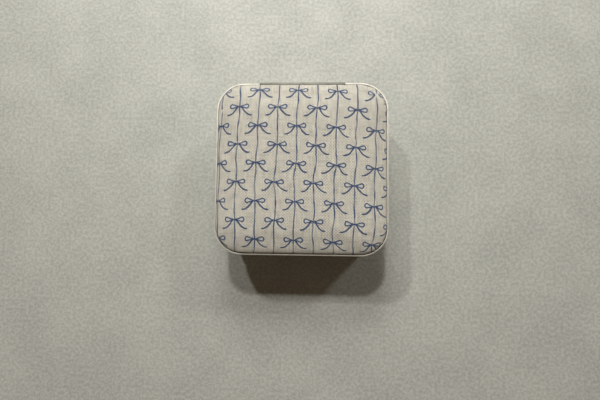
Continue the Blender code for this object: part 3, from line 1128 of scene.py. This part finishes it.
@dataclass
class Rim:
    """A pressed metal frame with an L section and soft edges, cut out at the back for the hinge.

    Attributes:
        node: The CAD node that it stands for, whose name it takes too.
        body: The body that it rides on.
        flange_up: Whether its flange is at the top.
        sheet: Thickness of the metal.
        flange: Width of the flange from the outer face.
        edge: Radius of its edges.
    """

    node: str
    body: Body
    flange_up: bool
    sheet: float = 0.9 * MM
    flange: float = 6.0 * MM
    edge: float = 0.22 * MM

    def build(self, finishes: Finishes) -> bpy.types.Object:
        """Models the rim and puts it in place.

        Args:
            finishes: The materials.

        Returns:
            The finished object.
        """
        low, high = node_box(self.node)
        rim = Workpiece.slab(f"{self.node}_frame", RIM_OUTLINE, low.z, high.z)
        flanged, open_end = (UP, DOWN) if self.flange_up else (DOWN, UP)
        with rim.selected(faces=facing(flanged)):
            bpy.ops.mesh.inset(thickness=self.flange, use_even_offset=True)
            bpy.ops.mesh.delete(type="FACE")
        with rim.selected(faces=facing(open_end)):
            bpy.ops.mesh.delete(type="FACE")
        rim.thicken(self.sheet)
        slot = self._hinge_slot(low.z, high.z)
        rim.cut(slot)
        slot.drop()
        rim.bevel(self.edge, segments=3, angle=50.0).smooth(50.0)
        return rim.install(finishes.rim, Slot.RIM_METAL, self.body, self.node)

    def _hinge_slot(self, low: float, high: float) -> Workpiece:
        """The space that the hinge takes out of the rim.

        Args:
            low: Height of the rim's underside.
            high: Height of the rim's top.

        Returns:
            A block of that space.
        """
        hinge_low, hinge_high = node_box("hinge_leaf_lid")
        inner = hinge_low.y - FIT
        return Workpiece.block(
            "hinge_slot",
            Vector((hinge_low.x - FIT, inner, low - MM)),
            Vector((hinge_high.x + FIT, hinge_high.y + MM, high + MM)),
        )


# ---------------------------------------------------------------- padded lid

@dataclass(frozen=True)
class Crease:
    """A shallow fold in the lid's cloth, from one place to another in plan.

    Attributes:
        start: One end.
        end: The other end.
        width: Half its width.
        depth: How deep it lies.
    """

    start: tuple[float, float]
    end: tuple[float, float]
    width: float = 0.9 * MM
    depth: float = 0.42 * MM

    def sink(self, place: Vector) -> float:
        """How far the cloth lies below or above its own surface at a place.

        Args:
            place: A point of the cloth.

        Returns:
            The height, below zero in the valley.
        """
        start, end = Vector(self.start), Vector(self.end)
        line = end - start
        share = max(0.0, min(1.0, (place.xy - start).dot(line) / line.length_squared))
        across = (place.xy - start - line * share).length
        taper = math.sin(math.pi * (0.08 + 0.84 * share)) if 0.0 < share < 1.0 else 0.25
        valley = math.exp(-(across / self.width) ** 2)
        ridge = math.exp(-((across - 2.1 * self.width) / self.width) ** 2)
        return self.depth * taper * (0.55 * ridge - valley)


@dataclass
class PaddedLid:
    """The lid's printed cloth over foam, drawn down behind the rim and gathered at the corners.

    Attributes:
        cloth: Thickness of the cloth.
        shoulder_width: Width of the rounded shoulder.
        crown: Rise of the middle above the shoulder's top.
        slack: How much lower the start is than the finished lid, before it is filled.
        pleats: Gathers in each corner.
        pleat_depth: Depth of a gather.
        shoulder_steps: Facets of the rounded shoulder before it is filled.
        bulge: How far the filled shoulder leans out over the rim.
        lean_top: Share of the shoulder's height over which it leans out.
        ease: How much of the way down the shoulder the cloth's own length is.
        cover_terraces: Widths of the cover's two slopes inside the shoulder.
        foam_terraces: Widths of the foam's two slopes inside the shoulder.
        terrace_rises: Shares of the crown's rise that the two slopes have.
        waves: Size and height of the cloth's two soft unevennesses.
        stuffing: How the cloth is filled.
        creases: The folds left in it.
    """

    cloth: float = 0.5 * MM
    shoulder_width: float = 5.0 * MM
    crown: float = 1.0 * MM
    slack: float = 0.75 * MM
    pleats: int = 7
    pleat_depth: float = 0.34 * MM
    shoulder_steps: int = 6
    bulge: float = 0.95 * MM
    lean_top: float = 0.8
    ease: float = 0.55
    cover_terraces: tuple[float, float] = (4.0 * MM, 8.0 * MM)
    foam_terraces: tuple[float, float] = (2.6 * MM, 4.4 * MM)
    terrace_rises: tuple[float, float] = (0.55, 0.45)
    waves: tuple[tuple[float, float], ...] = ((9.0 * MM, 0.09 * MM), (3.2 * MM, 0.035 * MM))
    stuffing: Stuffing = field(
        default_factory=lambda: Stuffing(1.15 * MM, limit=0.6 * MM, stiffness=10.0, evening=8)
    )
    creases: tuple[Crease, ...] = (
        Crease((-42.6 * MM, 39.6 * MM), (-47.6 * MM, 30.0 * MM)),
        Crease((41.2 * MM, 43.6 * MM), (47.0 * MM, 36.4 * MM)),
        Crease((-47.2 * MM, 27.0 * MM), (-47.6 * MM, 12.0 * MM), 0.7 * MM, 0.2 * MM),
    )

    def build(self, finishes: Finishes) -> list[bpy.types.Object]:
        """Models the cover and the foam under it."""
        return [self._cover(finishes), self._foam(finishes)]

    @property
    def outline(self) -> Outline:
        """The cover's outline, behind the rim."""
        return outline_of("lid_cover")

    @property
    def shoulder_start(self) -> float:
        """Height of the rim's top, where the shoulder starts."""
        return node_box("lid_rim")[1].z

    @property
    def shoulder_rise(self) -> float:
        """Height of the shoulder."""
        return node_box("lid_cover")[1].z - self.crown - self.slack - self.shoulder_start

    def _cushion(self, name: str, outline: Outline, low: float, start: float, rise: float,
                 terraces: tuple[float, float]) -> Workpiece:
        """A closed cushion: upright sides, a rounded shoulder and a low crown in two terraces.

        Args:
            name: Name of the piece.
            outline: Its outline in plan.
            low: Height of its underside.
            start: Height at which the shoulder starts.
            rise: Height of the shoulder.
            terraces: Widths of the crown's two slopes, from the shoulder inwards.

        Returns:
            The cushion.
        """
        piece = Workpiece.slab(name, outline, low, start)
        steps = self.shoulder_steps
        for step in range(steps):
            a, b = QUARTER_TURN * step / steps, QUARTER_TURN * (step + 1) / steps
            inward = self.shoulder_width * (math.cos(a) - math.cos(b))
            upward = rise * (math.sin(b) - math.sin(a))
            with piece.selected(faces=facing(UP, LEVEL)):
                bpy.ops.mesh.inset(thickness=inward, depth=upward, use_even_offset=True)
        for width, up in zip(terraces, self.terrace_rises):
            with piece.selected(faces=facing(UP, LEVEL)):
                bpy.ops.mesh.inset(thickness=width, depth=self.crown * up, use_even_offset=True)
        return piece

    def _cover(self, finishes: Finishes) -> bpy.types.Object:
        """The cloth, with its print, creases and corner gathers.

        Args:
            finishes: The materials.

        Returns:
            The finished object.
        """
        low = node_box("lid_cover")[0].z
        start = self.shoulder_start
        cover = self._cushion(
            "lid_cover_cloth", self.outline, low, start, self.shoulder_rise, self.cover_terraces
        )
        self.stuffing.remesh(cover)
        skirt = low + 0.4 * MM
        with cover.selected(faces=lambda face: face.normal.z < -0.4 or face.calc_center_median().z < skirt):
            bpy.ops.mesh.delete(type="FACE")
        self.stuffing.fill(cover, lambda place: place.z < start + 0.2 * MM)
        cover.shift(self._gather)
        cover.thicken(self.cloth)
        cover.smooth(70.0)
        cover.lay_cloth(self._flat)
        thing = cover.install(finishes.linen, Slot.PRINTED_LINEN, Body.LID, "lid_cover")
        return thing

    def _foam(self, finishes: Finishes) -> bpy.types.Object:
        """The foam pad, a little smaller than the cloth.

        Args:
            finishes: The materials.

        Returns:
            The finished object.
        """
        low, high = node_box("lid_pad")
        under = self.cloth + FIT
        start = low.z + 2 * FIT
        rise = high.z - self.crown - self.slack - start
        foam = self._cushion("lid_foam", self.outline.inset(under), low.z, start, rise, self.foam_terraces)
        foam.bevel(0.15 * MM, segments=2, angle=50.0).smooth(35.0)
        thing = foam.install(finishes.foam, Slot.FOAM, Body.LID, "lid_pad")
        return thing

    def _pleat(self, place: Vector, height: float) -> float:
        """How far the cloth is drawn in by a corner's gathers.

        Args:
            place: A point of the cloth.
            height: Its height on the shoulder, from 0 to 1.

        Returns:
            The distance inwards.
        """
        core = self.outline.core
        if min(abs(place.x), abs(place.y)) <= core or height <= -0.6:
            return 0.0
        angle = math.atan2(abs(place.y) - core, abs(place.x) - core)
        share = angle / QUARTER_TURN
        which = (1 if place.x > 0 else 0) + (2 if place.y > 0 else 0)
        phase = 2 * math.pi * (self.pleats * share + 0.31 * which)
        wave = math.sin(phase + 1.3 * math.sin(5.0 * angle + which))
        fade = math.sin(math.pi * share) ** 0.5 * max(0.0, 1.0 - max(height, 0.0) ** 1.5)
        return self.pleat_depth * (0.5 + 0.5 * wave) * fade

    def _gather(self, place: Vector) -> Vector:
        """How the cloth moves at the corners' gathers, the shoulder's lean, the creases and the waves.

        Args:
            place: A point of the filled cloth.

        Returns:
            How far it moves.
        """
        out = self.outline.outward(place)
        height = (place.z - self.shoulder_start) / self.shoulder_rise
        move = -out * self._pleat(place, height)
        if 0.0 < height < 1.0:
            move += out * self.bulge * math.sin(math.pi * min(1.0, height / self.lean_top) ** 0.6)
        if height > 0.0:
            sunk = sum(crease.sink(place) for crease in self.creases)
            move += (UP * 0.8 + out * 0.4) * sunk
            soft = sum(noise.noise(place / size) * rise for size, rise in self.waves)
            move += UP * soft * min(1.0, height * 2.0)
        return move

    def _flat(self, place: Vector, middle: Vector) -> tuple[float, float]:
        """Where a point of the cover lies on the flat cloth.

        Args:
            place: A point of the cover.
            middle: The middle of the point's face, which the cover doesn't need.

        Returns:
            Its place on the flat cloth.
        """
        outline = self.outline
        reach, edge = outline.reach(place), outline.corner - self.shoulder_width
        if reach <= edge:
            return place.x, place.y
        top = self.shoulder_start + self.shoulder_rise
        run = reach - edge + self.ease * max(0.0, top - place.z)
        flat = outline.nearest_core(place) + outline.outward(place) * (edge + run)
        return flat.x, flat.y


# ---------------------------------------------------------------- base: wrap and foot

@dataclass
class ClothWrap:
    """The base's printed cloth, turned in under the box, with a lap where its ends meet.

    Attributes:
        cloth: Thickness of the cloth.
        turn_in: Width of the cloth turned in underneath.
        bottom_edge: Radius of the bottom edge.
        lap: Width of the lap.
        lap_height: Thickness of the lap.
        lap_gap: From the hinge to the lap.
        lap_slip: How far the lap's print is off the print that it lies on.
        puckers: Puckers round a quarter turn of a bottom corner.
        pucker_depth: Depth of a pucker.
        rows: Heights at which the wall's cloth is divided.
    """

    cloth: float = 0.6 * MM
    turn_in: float = 7.0 * MM
    bottom_edge: float = 1.3 * MM
    lap: float = 6.0 * MM
    lap_height: float = 0.35 * MM
    lap_gap: float = 1.5 * MM
    lap_slip: tuple[float, float] = (4.7 * MM, 3.0 * MM)
    puckers: int = 8
    pucker_depth: float = 0.22 * MM
    rows: tuple[float, ...] = (3.0 * MM, 10.0 * MM, 18.0 * MM, 26.0 * MM)

    def build(self, finishes: Finishes) -> list[bpy.types.Object]:
        """Models the lap and the wrap."""
        lap = self._lap(finishes)
        return [lap, self._wrap(finishes)]

    @property
    def outline(self) -> Outline:
        """The wrap's outer outline."""
        return outline_of("base_cover")

    def _wrap(self, finishes: Finishes) -> bpy.types.Object:
        """The cloth round the walls, with small gathers where it turns the bottom corners.

        Args:
            finishes: The materials.

        Returns:
            The finished object.
        """
        low, high = node_box("base_cover")
        wrap = Workpiece.slab("base_cover_cloth", self.outline, low.z, high.z)
        with wrap.selected(faces=facing(DOWN)):
            bpy.ops.mesh.inset(thickness=self.turn_in, use_even_offset=True)
            bpy.ops.mesh.delete(type="FACE")
        with wrap.selected(faces=facing(UP)):
            bpy.ops.mesh.delete(type="FACE")
        for height in self.rows:
            with wrap.selected(faces=lambda face: True):
                bpy.ops.mesh.bisect(plane_co=(0, 0, low.z + height), plane_no=(0, 0, 1))
        wrap.bevel(self.bottom_edge, segments=5, angle=60.0)
        wrap.shift(self._gather)
        wrap.thicken(self.cloth)
        wrap.smooth(60.0)
        wrap.lay_cloth(self._flat)
        thing = wrap.install(finishes.wrap_linen, Slot.PRINTED_LINEN, Body.BASE, "base_cover")
        length, width = self.outline.length(), high.z - low.z + self.turn_in
        length + self.lap
        length * width
        return thing

    def _gather(self, place: Vector) -> Vector:
        """How far the cloth puckers where it turns in under a corner.

        Args:
            place: A point of the cloth.

        Returns:
            How far it moves.
        """
        outline = self.outline
        corner = min(abs(place.x), abs(place.y)) - outline.core
        low = node_box("base_cover")[0].z
        if corner <= 0.0 or place.z > low + 2.5 * MM:
            return Vector((0.0, 0.0, 0.0))
        angle = math.atan2(abs(place.y) - outline.core, abs(place.x) - outline.core)
        wave = 0.5 + 0.5 * math.sin(4 * angle * self.puckers)
        fade = min(1.0, outline.reach(place) / outline.corner)
        return UP * self.pucker_depth * wave * fade

    def _lap(self, finishes: Finishes) -> bpy.types.Object:
        """The strip of cloth that overlaps at the back, beside the hinge.

        Args:
            finishes: The materials.

        Returns:
            The finished object.
        """
        low, high = node_box("base_cover")
        start = node_box("hinge_leaf_base")[1].x + self.lap_gap
        outer = high.y + self.lap_height * 0.5
        top = node_box("base_rim")[0].z - 0.15 * MM
        lap = Workpiece.block(
            "base_cover_lap",
            Vector((start, outer - self.cloth, low.z + self.bottom_edge + 0.2 * MM)),
            Vector((start + self.lap, outer + self.lap_height * 0.5, top)),
        )
        with lap.selected(edges=lambda e: upright_edge(e) and e.verts[0].co.y > outer):
            bpy.ops.mesh.bevel(offset=self.lap_height, segments=4, affect="EDGES")
        lap.bevel(0.12 * MM, segments=2, angle=60.0)
        lap.smooth(60.0)
        slip_x, slip_z = self.lap_slip
        lap.lay_cloth(lambda place, middle: (self._flat(place, middle)[0] + slip_x, place.z + slip_z))
        return lap.install(finishes.wrap_linen, Slot.PRINTED_LINEN, Body.BASE)

    def _flat(self, place: Vector, middle: Vector) -> tuple[float, float]:
        """Where a point of the wrap lies on the flat cloth.

        Args:
            place: A point of the wrap.
            middle: The middle of the point's face.

        Returns:
            Its place on the flat cloth.
        """
        outline = self.outline
        length = outline.length()
        across, across_middle = outline.along(place), outline.along(middle)
        if across - across_middle > length / 2:
            across -= length
        if across_middle - across > length / 2:
            across += length
        inward = max(0.0, outline.corner - self.cloth * 1.2 - outline.reach(place))
        return across, place.z - inward


@dataclass
class FootPad:
    """The suede pad that the box stands on, with a pressed line round its edge.

    Attributes:
        edge: Radius of its edges.
        line_inset: From the pad's edge to the pressed line.
        line_width: Width of the pressed line.
        line_depth: Depth of the pressed line.
    """

    edge: float = 0.35 * MM
    line_inset: float = 2.6 * MM
    line_width: float = 0.9 * MM
    line_depth: float = 0.18 * MM

    def build(self, finishes: Finishes) -> bpy.types.Object:
        """Models the pad.

        Args:
            finishes: The materials.

        Returns:
            The finished object.
        """
        low, high = node_box("bottom_pad")
        pad = Workpiece.slab("foot_pad", outline_of("bottom_pad"), low.z, high.z)
        pad.bevel(self.edge, segments=3, angle=50.0)
        half, depth = self.line_width / 2, self.line_depth
        with pad.selected(faces=facing(DOWN, 0.999)):
            for width, step in ((self.line_inset, 0.0), (half, -depth), (half, depth)):
                bpy.ops.mesh.inset(thickness=width, depth=step, use_even_offset=True)
        pad.smooth(35.0)
        return pad.install(finishes.suede, Slot.SUEDE, Body.BASE, "bottom_pad")


# ---------------------------------------------------------------- inside of the base

@dataclass
class VelvetInside:
    """The velvet-covered lining, floor card, dividers and ring pads.

    Attributes:
        lining: Thickness of the wall's lining.
        soft_edge: Radius of the velvet's edges.
        ring_pads: How many ring pads there are.
    """

    lining: float = 1.2 * MM
    soft_edge: float = 0.5 * MM
    ring_pads: int = 3
    stuffing: Stuffing = field(default_factory=lambda: Stuffing(1.0 * MM, limit=0.45 * MM))

    def build(self, finishes: Finishes) -> list[bpy.types.Object]:
        """Models everything that lines and divides the base.

        Args:
            finishes: The materials.

        Returns:
            The finished objects.
        """
        made = [self._wall(finishes), self._floor(finishes)]
        made += [self._divider(name, finishes) for name in ("divider_long", "divider_cross")]
        made += [self._ring_pad(number + 1, finishes) for number in range(self.ring_pads)]
        return made

    def _wall(self, finishes: Finishes) -> bpy.types.Object:
        """The lining of the walls, with a soft top edge.

        Args:
            finishes: The materials.

        Returns:
            The finished object.
        """
        low, high = node_box("base_lining")
        wall = Workpiece.slab("wall_lining", outline_of("base_lining"), low.z, high.z)
        with wall.selected(faces=lambda face: abs(face.normal.z) > 0.9):
            bpy.ops.mesh.delete(type="FACE")
        wall.thicken(self.lining)
        wall.bevel(self.soft_edge * 0.9, segments=3, angle=60.0).smooth(50.0)
        return wall.install(finishes.velvet, Slot.VELVET, Body.BASE, "base_lining")

    def _floor(self, finishes: Finishes) -> bpy.types.Object:
        """The floor card, slightly pillowed under its velvet.

        Args:
            finishes: The materials.

        Returns:
            The finished object.
        """
        low, high = node_box("lining_floor")
        floor = Workpiece.slab("floor_card", outline_of("lining_floor"), low.z, high.z)
        floor.bevel(self.soft_edge, segments=4, angle=60.0).smooth(40.0)
        return floor.install(finishes.velvet, Slot.VELVET, Body.BASE, "lining_floor")

    def _divider(self, node: str, finishes: Finishes) -> bpy.types.Object:
        """A divider card with its velvet wrapped round the top.

        Args:
            node: The CAD node.
            finishes: The materials.

        Returns:
            The finished object.
        """
        low, high = node_box(node)
        card = Workpiece.block(f"{node}_card", low, high)
        across = 1 if node == "divider_long" else 0
        with card.selected(
            edges=lambda e: all(v.co.z > high.z - MM for v in e.verts)
            and abs((e.verts[0].co - e.verts[1].co)[across]) < MM
        ):
            bpy.ops.mesh.bevel(offset=0.48 * (high - low)[across], segments=6, affect="EDGES")
        card.bevel(0.2 * MM, segments=2, angle=50.0).smooth(50.0)
        return card.install(finishes.velvet, Slot.VELVET, Body.BASE, node)

    def _ring_pad(self, number: int, finishes: Finishes) -> bpy.types.Object:
        """One upright ring cushion: velvet over foam, filled until it rounds.

        Args:
            number: Number of the pad, from the back.
            finishes: The materials.

        Returns:
            The finished object.
        """
        node = f"ring_pad_{number}"
        low, high = node_box(node)
        swell = Vector((0.0, 0.2, 0.2)) * MM
        pad = Workpiece.block(f"{node}_cushion", low + swell, high - swell)
        depth = high.y - low.y
        with pad.selected(
            edges=lambda e: all(v.co.z > high.z - MM for v in e.verts)
            and abs(e.verts[0].co.x - e.verts[1].co.x) > MM
        ):
            bpy.ops.mesh.bevel(offset=depth * 0.46, segments=8, affect="EDGES")
        core = Workpiece.slab("cavity", outline_of("lining_floor").inset(0.1 * MM), 0.0, high.z + 10 * MM)
        pad.cut(core, "INTERSECT")
        core.drop()
        self.stuffing.remesh(pad)
        foot, end = low.z + 1.5 * MM, high.x - 0.8 * MM
        self.stuffing.fill(pad, lambda place: place.z < foot or abs(place.x) > end)
        pad.smooth(60.0)
        thing = pad.install(finishes.velvet, Slot.VELVET_PAD, Body.BASE, node)
        return thing


# ---------------------------------------------------------------- inside of the lid

@dataclass
class MirrorSet:
    """The mirror, its pressed bezel and the velvet card that they sit on.

    Attributes:
        bezel_sheet: Thickness of the bezel.
        bezel_lip: How far its lip reaches over the glass.
        bezel_corner: Radius of its corners.
        glass_edge: Width of the glass's ground edge.
    """

    bezel_sheet: float = 0.8 * MM
    bezel_lip: float = 3.2 * MM
    bezel_corner: float = 10.0 * MM
    glass_edge: float = 0.25 * MM

    def build(self, finishes: Finishes) -> list[bpy.types.Object]:
        """Models the three pieces."""
        return [self._card(finishes), self._bezel(finishes), self._glass(finishes)]

    def _card(self, finishes: Finishes) -> bpy.types.Object:
        """The velvet card in the lid's recess.

        Args:
            finishes: The materials.

        Returns:
            The finished object.
        """
        low, high = node_box("lid_lining")
        card = Workpiece.slab("lid_card", outline_of("lid_lining"), low.z, high.z)
        card.bevel(0.35 * MM, segments=3, angle=60.0).smooth(40.0)
        return card.install(finishes.velvet, Slot.VELVET, Body.LID, "lid_lining")

    def _bezel(self, finishes: Finishes) -> bpy.types.Object:
        """The pressed frame with a rounded lip over the glass.

        Args:
            finishes: The materials.

        Returns:
            The finished object.
        """
        low, high = node_box("mirror_bezel")
        bezel = Workpiece.slab("mirror_frame", Outline(high.x, self.bezel_corner), low.z, high.z)
        with bezel.selected(faces=facing(DOWN)):
            bpy.ops.mesh.inset(thickness=self.bezel_lip, use_even_offset=True)
            bpy.ops.mesh.delete(type="FACE")
        with bezel.selected(faces=facing(UP)):
            bpy.ops.mesh.delete(type="FACE")
        bezel.thicken(self.bezel_sheet)
        bezel.bevel(0.3 * MM, segments=3, angle=50.0).smooth(50.0)
        return bezel.install(finishes.rim, Slot.RIM_METAL, Body.LID, "mirror_bezel")

    def _glass(self, finishes: Finishes) -> bpy.types.Object:
        """The mirror with a ground edge.

        Args:
            finishes: The materials.

        Returns:
            The finished object.
        """
        low, high = node_box("mirror")
        inset = node_box("mirror_bezel")[1].x - high.x
        glass = Workpiece.slab("mirror_glass", Outline(high.x, self.bezel_corner - inset), low.z, high.z)
        glass.bevel(self.glass_edge, segments=2, angle=60.0).smooth(30.0)
        return glass.install(finishes.silvering, Slot.MIRROR, Body.LID, "mirror")


# ---------------------------------------------------------------- hinge and fastenings

@dataclass
class StopHinge:
    """The hinge's two leaves, its pin and the rivets, with their edges broken.

    Attributes:
        broken_edge: Width of the leaves' broken edges.
        base_rivets: Rivets through the base leaf.
        lid_rivets: Rivets through the lid leaf.
        sides: Facets round a rivet or the pin.
    """

    broken_edge: float = 0.07 * MM
    base_rivets: int = 3
    lid_rivets: int = 2
    sides: int = 32

    def build(self, finishes: Finishes) -> list[bpy.types.Object]:
        """Models the hinge.

        Args:
            finishes: The materials.

        Returns:
            The finished objects.
        """
        made = []
        for node, body in (("hinge_leaf_base", Body.BASE), ("hinge_leaf_lid", Body.LID)):
            leaf = Workpiece.copy_of(f"{node}_plate", node)
            leaf.bevel(self.broken_edge, segments=2, angle=50.0).smooth(40.0)
            made.append(leaf.install(finishes.hinge, Slot.HINGE_METAL, body, node))
        made.append(self._pin(finishes))
        for body, count in ((Body.BASE, self.base_rivets), (Body.LID, self.lid_rivets)):
            for number in range(count):
                made.append(self._rivet(f"{body.value}_rivet_{number + 1}", body, finishes))
        return made

    def _pin(self, finishes: Finishes) -> bpy.types.Object:
        """The hinge pin, domed at both ends.

        Args:
            finishes: The materials.

        Returns:
            The finished object.
        """
        low, high = node_box("hinge_pin")
        radius = (high.z - low.z) / 2
        along_x = (0.0, QUARTER_TURN, 0.0)
        pin = Workpiece.rod("hinge_pin_rod", (low + high) / 2, radius, high.x - low.x, along_x, self.sides)
        with pin.selected(edges=lambda e: abs(e.verts[0].co.x - e.verts[1].co.x) < 1e-6
                          and abs(e.verts[0].co.x) > high.x - 1e-6):
            bpy.ops.mesh.bevel(offset=radius * 0.6, segments=4, affect="EDGES")
        return pin.smooth(40.0).install(finishes.steel, Slot.STEEL, Body.BASE, "hinge_pin")

    def _rivet(self, node: str, body: Body, finishes: Finishes) -> bpy.types.Object:
        """A rivet with a domed head outside and its shank in the board.

        Args:
            node: The CAD node.
            body: The body that it rides on.
            finishes: The materials.

        Returns:
            The finished object.
        """
        low, high = node_box(node)
        head = (high.x - low.x) / 2
        rise = head * 0.45
        shank = head * 0.53
        centre = (low + high) / 2
        centre.y = high.y - rise / 2
        rivet = Workpiece.rod(f"{node}_head", centre, head, rise, (QUARTER_TURN, 0.0, 0.0), self.sides)
        with rivet.selected(faces=facing(FRONT)):
            bpy.ops.mesh.inset(thickness=head - shank)
            bpy.ops.mesh.extrude_region_move(
                TRANSFORM_OT_translate={"value": (0.0, low.y - (high.y - rise), 0.0)}
            )
        with rivet.selected(edges=lambda e: all(v.co.y > high.y - 1e-6 for v in e.verts)):
            bpy.ops.mesh.bevel(offset=rise * 0.92, segments=5, affect="EDGES")
        return rivet.smooth(35.0).install(finishes.hinge, Slot.HINGE_METAL, body, node)


@dataclass
class Fastening:
    """The magnets in the front wall and the steel strikes above them.

    Attributes:
        edge: Radius of the bars' edges.
    """

    edge: float = 0.25 * MM

    def build(self, finishes: Finishes) -> list[bpy.types.Object]:
        """Models the four bars.

        Args:
            finishes: The materials.

        Returns:
            The finished objects.
        """
        made = []
        for kind, body in (("magnet", Body.BASE), ("strike", Body.LID)):
            for side in ("left", "right"):
                node = f"{kind}_{side}"
                bar = Workpiece.block(f"{node}_bar", *node_box(node))
                bar.bevel(self.edge, segments=3, angle=50.0).smooth(40.0)
                made.append(bar.install(finishes.steel, Slot.STEEL, body, node))
        return made


class Boards:
    """The fibreboard pieces, whose CAD shapes stay."""

    NODES = ("base_wall", "base_floor", "lid_board")

    def build(self, finishes: Finishes) -> None:
        """Gives the boards their finish.

        Args:
            finishes: The materials.
        """
        for name in self.NODES:
            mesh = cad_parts[name].data
            for place in range(len(mesh.materials)):
                mesh.materials[place] = finishes.board
            LOG.info("%s: keeps its CAD shape", name)


# ---------------------------------------------------------------- studio

@dataclass(frozen=True)
class Lamp:
    """A soft lamp, placed by the way that its shadow falls.

    Attributes:
        name: Name of the lamp.
        fall: How far the shadow of a point moves, across and along, for one unit of height.
        power: Power in watts.
        size: Width of the lamp.
        distance: Distance from the box.
        tint: Colour of its light.
    """

    name: str
    fall: tuple[float, float]
    power: float
    size: float
    distance: float = 1.8
    tint: Colour = (1.0, 0.985, 0.93)

    def place(self, target: Vector) -> None:
        """Hangs the lamp and aims it at a target.

        Args:
            target: The point that it is aimed at.
        """
        way = Vector((-self.fall[0], -self.fall[1], 1.0)).normalized()
        bpy.ops.object.select_all(action="DESELECT")
        bpy.ops.object.light_add(type="AREA", location=target + way * self.distance)
        lamp = bpy.context.active_object
        lamp.name = self.name
        lamp.rotation_mode = "QUATERNION"
        lamp.rotation_quaternion = way.to_track_quat("Z", "Y")
        lamp.data.shape = "DISK"
        lamp.data.size = self.size
        lamp.data.energy = self.power
        lamp.data.color = self.tint


@dataclass
class Studio:
    """A pale table, lamps behind and above, and the camera that looks almost straight down.

    Attributes:
        eye: Place of the camera.
        aim: Where it looks.
        roll: How far its picture is turned, in degrees.
        lens: Focal length in millimetres.
        film: Width of the camera's frame in millimetres.
        table_side: Side of the table.
        target: What the lamps are aimed at.
        overhead: Light that comes from overhead.
        wall: Light that comes from the pale wall, low down all round.
        wall_top: Sine of the height at which the wall has faded out.
    """

    eye: Vector = field(default_factory=lambda: Vector((12.0, -35.4, 287.0)) * MM)
    aim: Vector = field(default_factory=lambda: Vector((-0.5, -18.3, 39.3)) * MM)
    roll: float = -0.72
    lens: float = 26.0
    film: float = 36.0
    table_side: float = 3.0
    target: Vector = field(default_factory=lambda: Vector((0.0, 0.0, 20.0)) * MM)
    overhead: Colour = (0.080, 0.054, 0.032)
    wall: Colour = (0.40, 0.385, 0.345)
    wall_top: float = 0.42
    lamps: tuple[Lamp, ...] = (
        Lamp("lamp_behind", (0.05, -0.67), 6.9, 0.085, distance=1.45),
        Lamp("lamp_behind_left", (0.45, -0.75), 3.5, 0.06, distance=1.1),
        Lamp("lamp_behind_right", (-0.97, -0.95), 12.0, 0.29, distance=2.6),
        Lamp("lamp_low_behind", (0.02, -1.12), 1.25, 0.16, distance=0.50),
    )

    def build(self) -> None:
        """Sets the table, the light and the camera."""
        bpy.context.scene.view_settings.view_transform = "Standard"
        self._table()
        self._light()
        self._camera()

    def _table(self) -> None:
        """The table top."""
        bpy.ops.object.select_all(action="DESELECT")
        bpy.ops.mesh.primitive_plane_add(size=self.table_side, location=(0.0, 0.0, 0.0))
        table = bpy.context.active_object
        table.name = "table"
        table.data.materials.append(TableTop().material())

    def _light(self) -> None:
        """The lamps and the light from all round."""
        for lamp in self.lamps:
            lamp.place(self.target)
        world = bpy.data.worlds.new("studio")
        bpy.context.scene.world = world
        world.use_nodes = True
        nodes, links = world.node_tree.nodes, world.node_tree.links
        way = nodes.new("ShaderNodeTexCoord")
        parts = nodes.new("ShaderNodeSeparateXYZ")
        height = nodes.new("ShaderNodeMapRange")
        height.interpolation_type = "SMOOTHSTEP"
        height.inputs["From Min"].default_value = -0.02
        height.inputs["From Max"].default_value = self.wall_top
        blend = nodes.new("ShaderNodeMix")
        blend.data_type = "RGBA"
        wall, overhead = (socket for socket in blend.inputs if socket.type == "RGBA")
        wall.default_value = (*self.wall, 1.0)
        overhead.default_value = (*self.overhead, 1.0)
        mixed = next(socket for socket in blend.outputs if socket.type == "RGBA")
        links.new(way.outputs["Generated"], parts.inputs["Vector"])
        links.new(parts.outputs["Z"], height.inputs["Value"])
        links.new(height.outputs["Result"], blend.inputs["Factor"])
        links.new(mixed, nodes["Background"].inputs["Color"])

    def _camera(self) -> None:
        """The camera."""
        away = (self.eye - self.aim).normalized()
        turn = math.radians(self.roll)
        up = Vector((math.sin(turn), math.cos(turn), 0.0))
        right = up.cross(away).normalized()
        up = away.cross(right)
        bpy.ops.object.select_all(action="DESELECT")
        bpy.ops.object.camera_add(location=self.eye)
        camera = bpy.context.active_object
        camera.rotation_mode = "QUATERNION"
        camera.rotation_quaternion = Matrix((right, up, away)).transposed().to_quaternion()
        camera.data.lens = self.lens
        camera.data.sensor_width = self.film
        camera.data.clip_start = 1.0 * MM
        bpy.context.scene.camera = camera


# ---------------------------------------------------------------- whole box


def main() -> None:
    """Builds the box and its studio, in order."""
    logging.basicConfig(level=logging.INFO, format="%(name)s: %(message)s")
    finishes = Finishes()
    Boards().build(finishes)
    Rim("base_rim", Body.BASE, flange_up=True).build(finishes)
    Rim("lid_rim", Body.LID, flange_up=False).build(finishes)
    ClothWrap().build(finishes)
    FootPad().build(finishes)
    VelvetInside().build(finishes)
    PaddedLid().build(finishes)
    MirrorSet().build(finishes)
    StopHinge().build(finishes)
    Fastening().build(finishes)
    Studio().build()


if __name__ == "__main__":
    main()
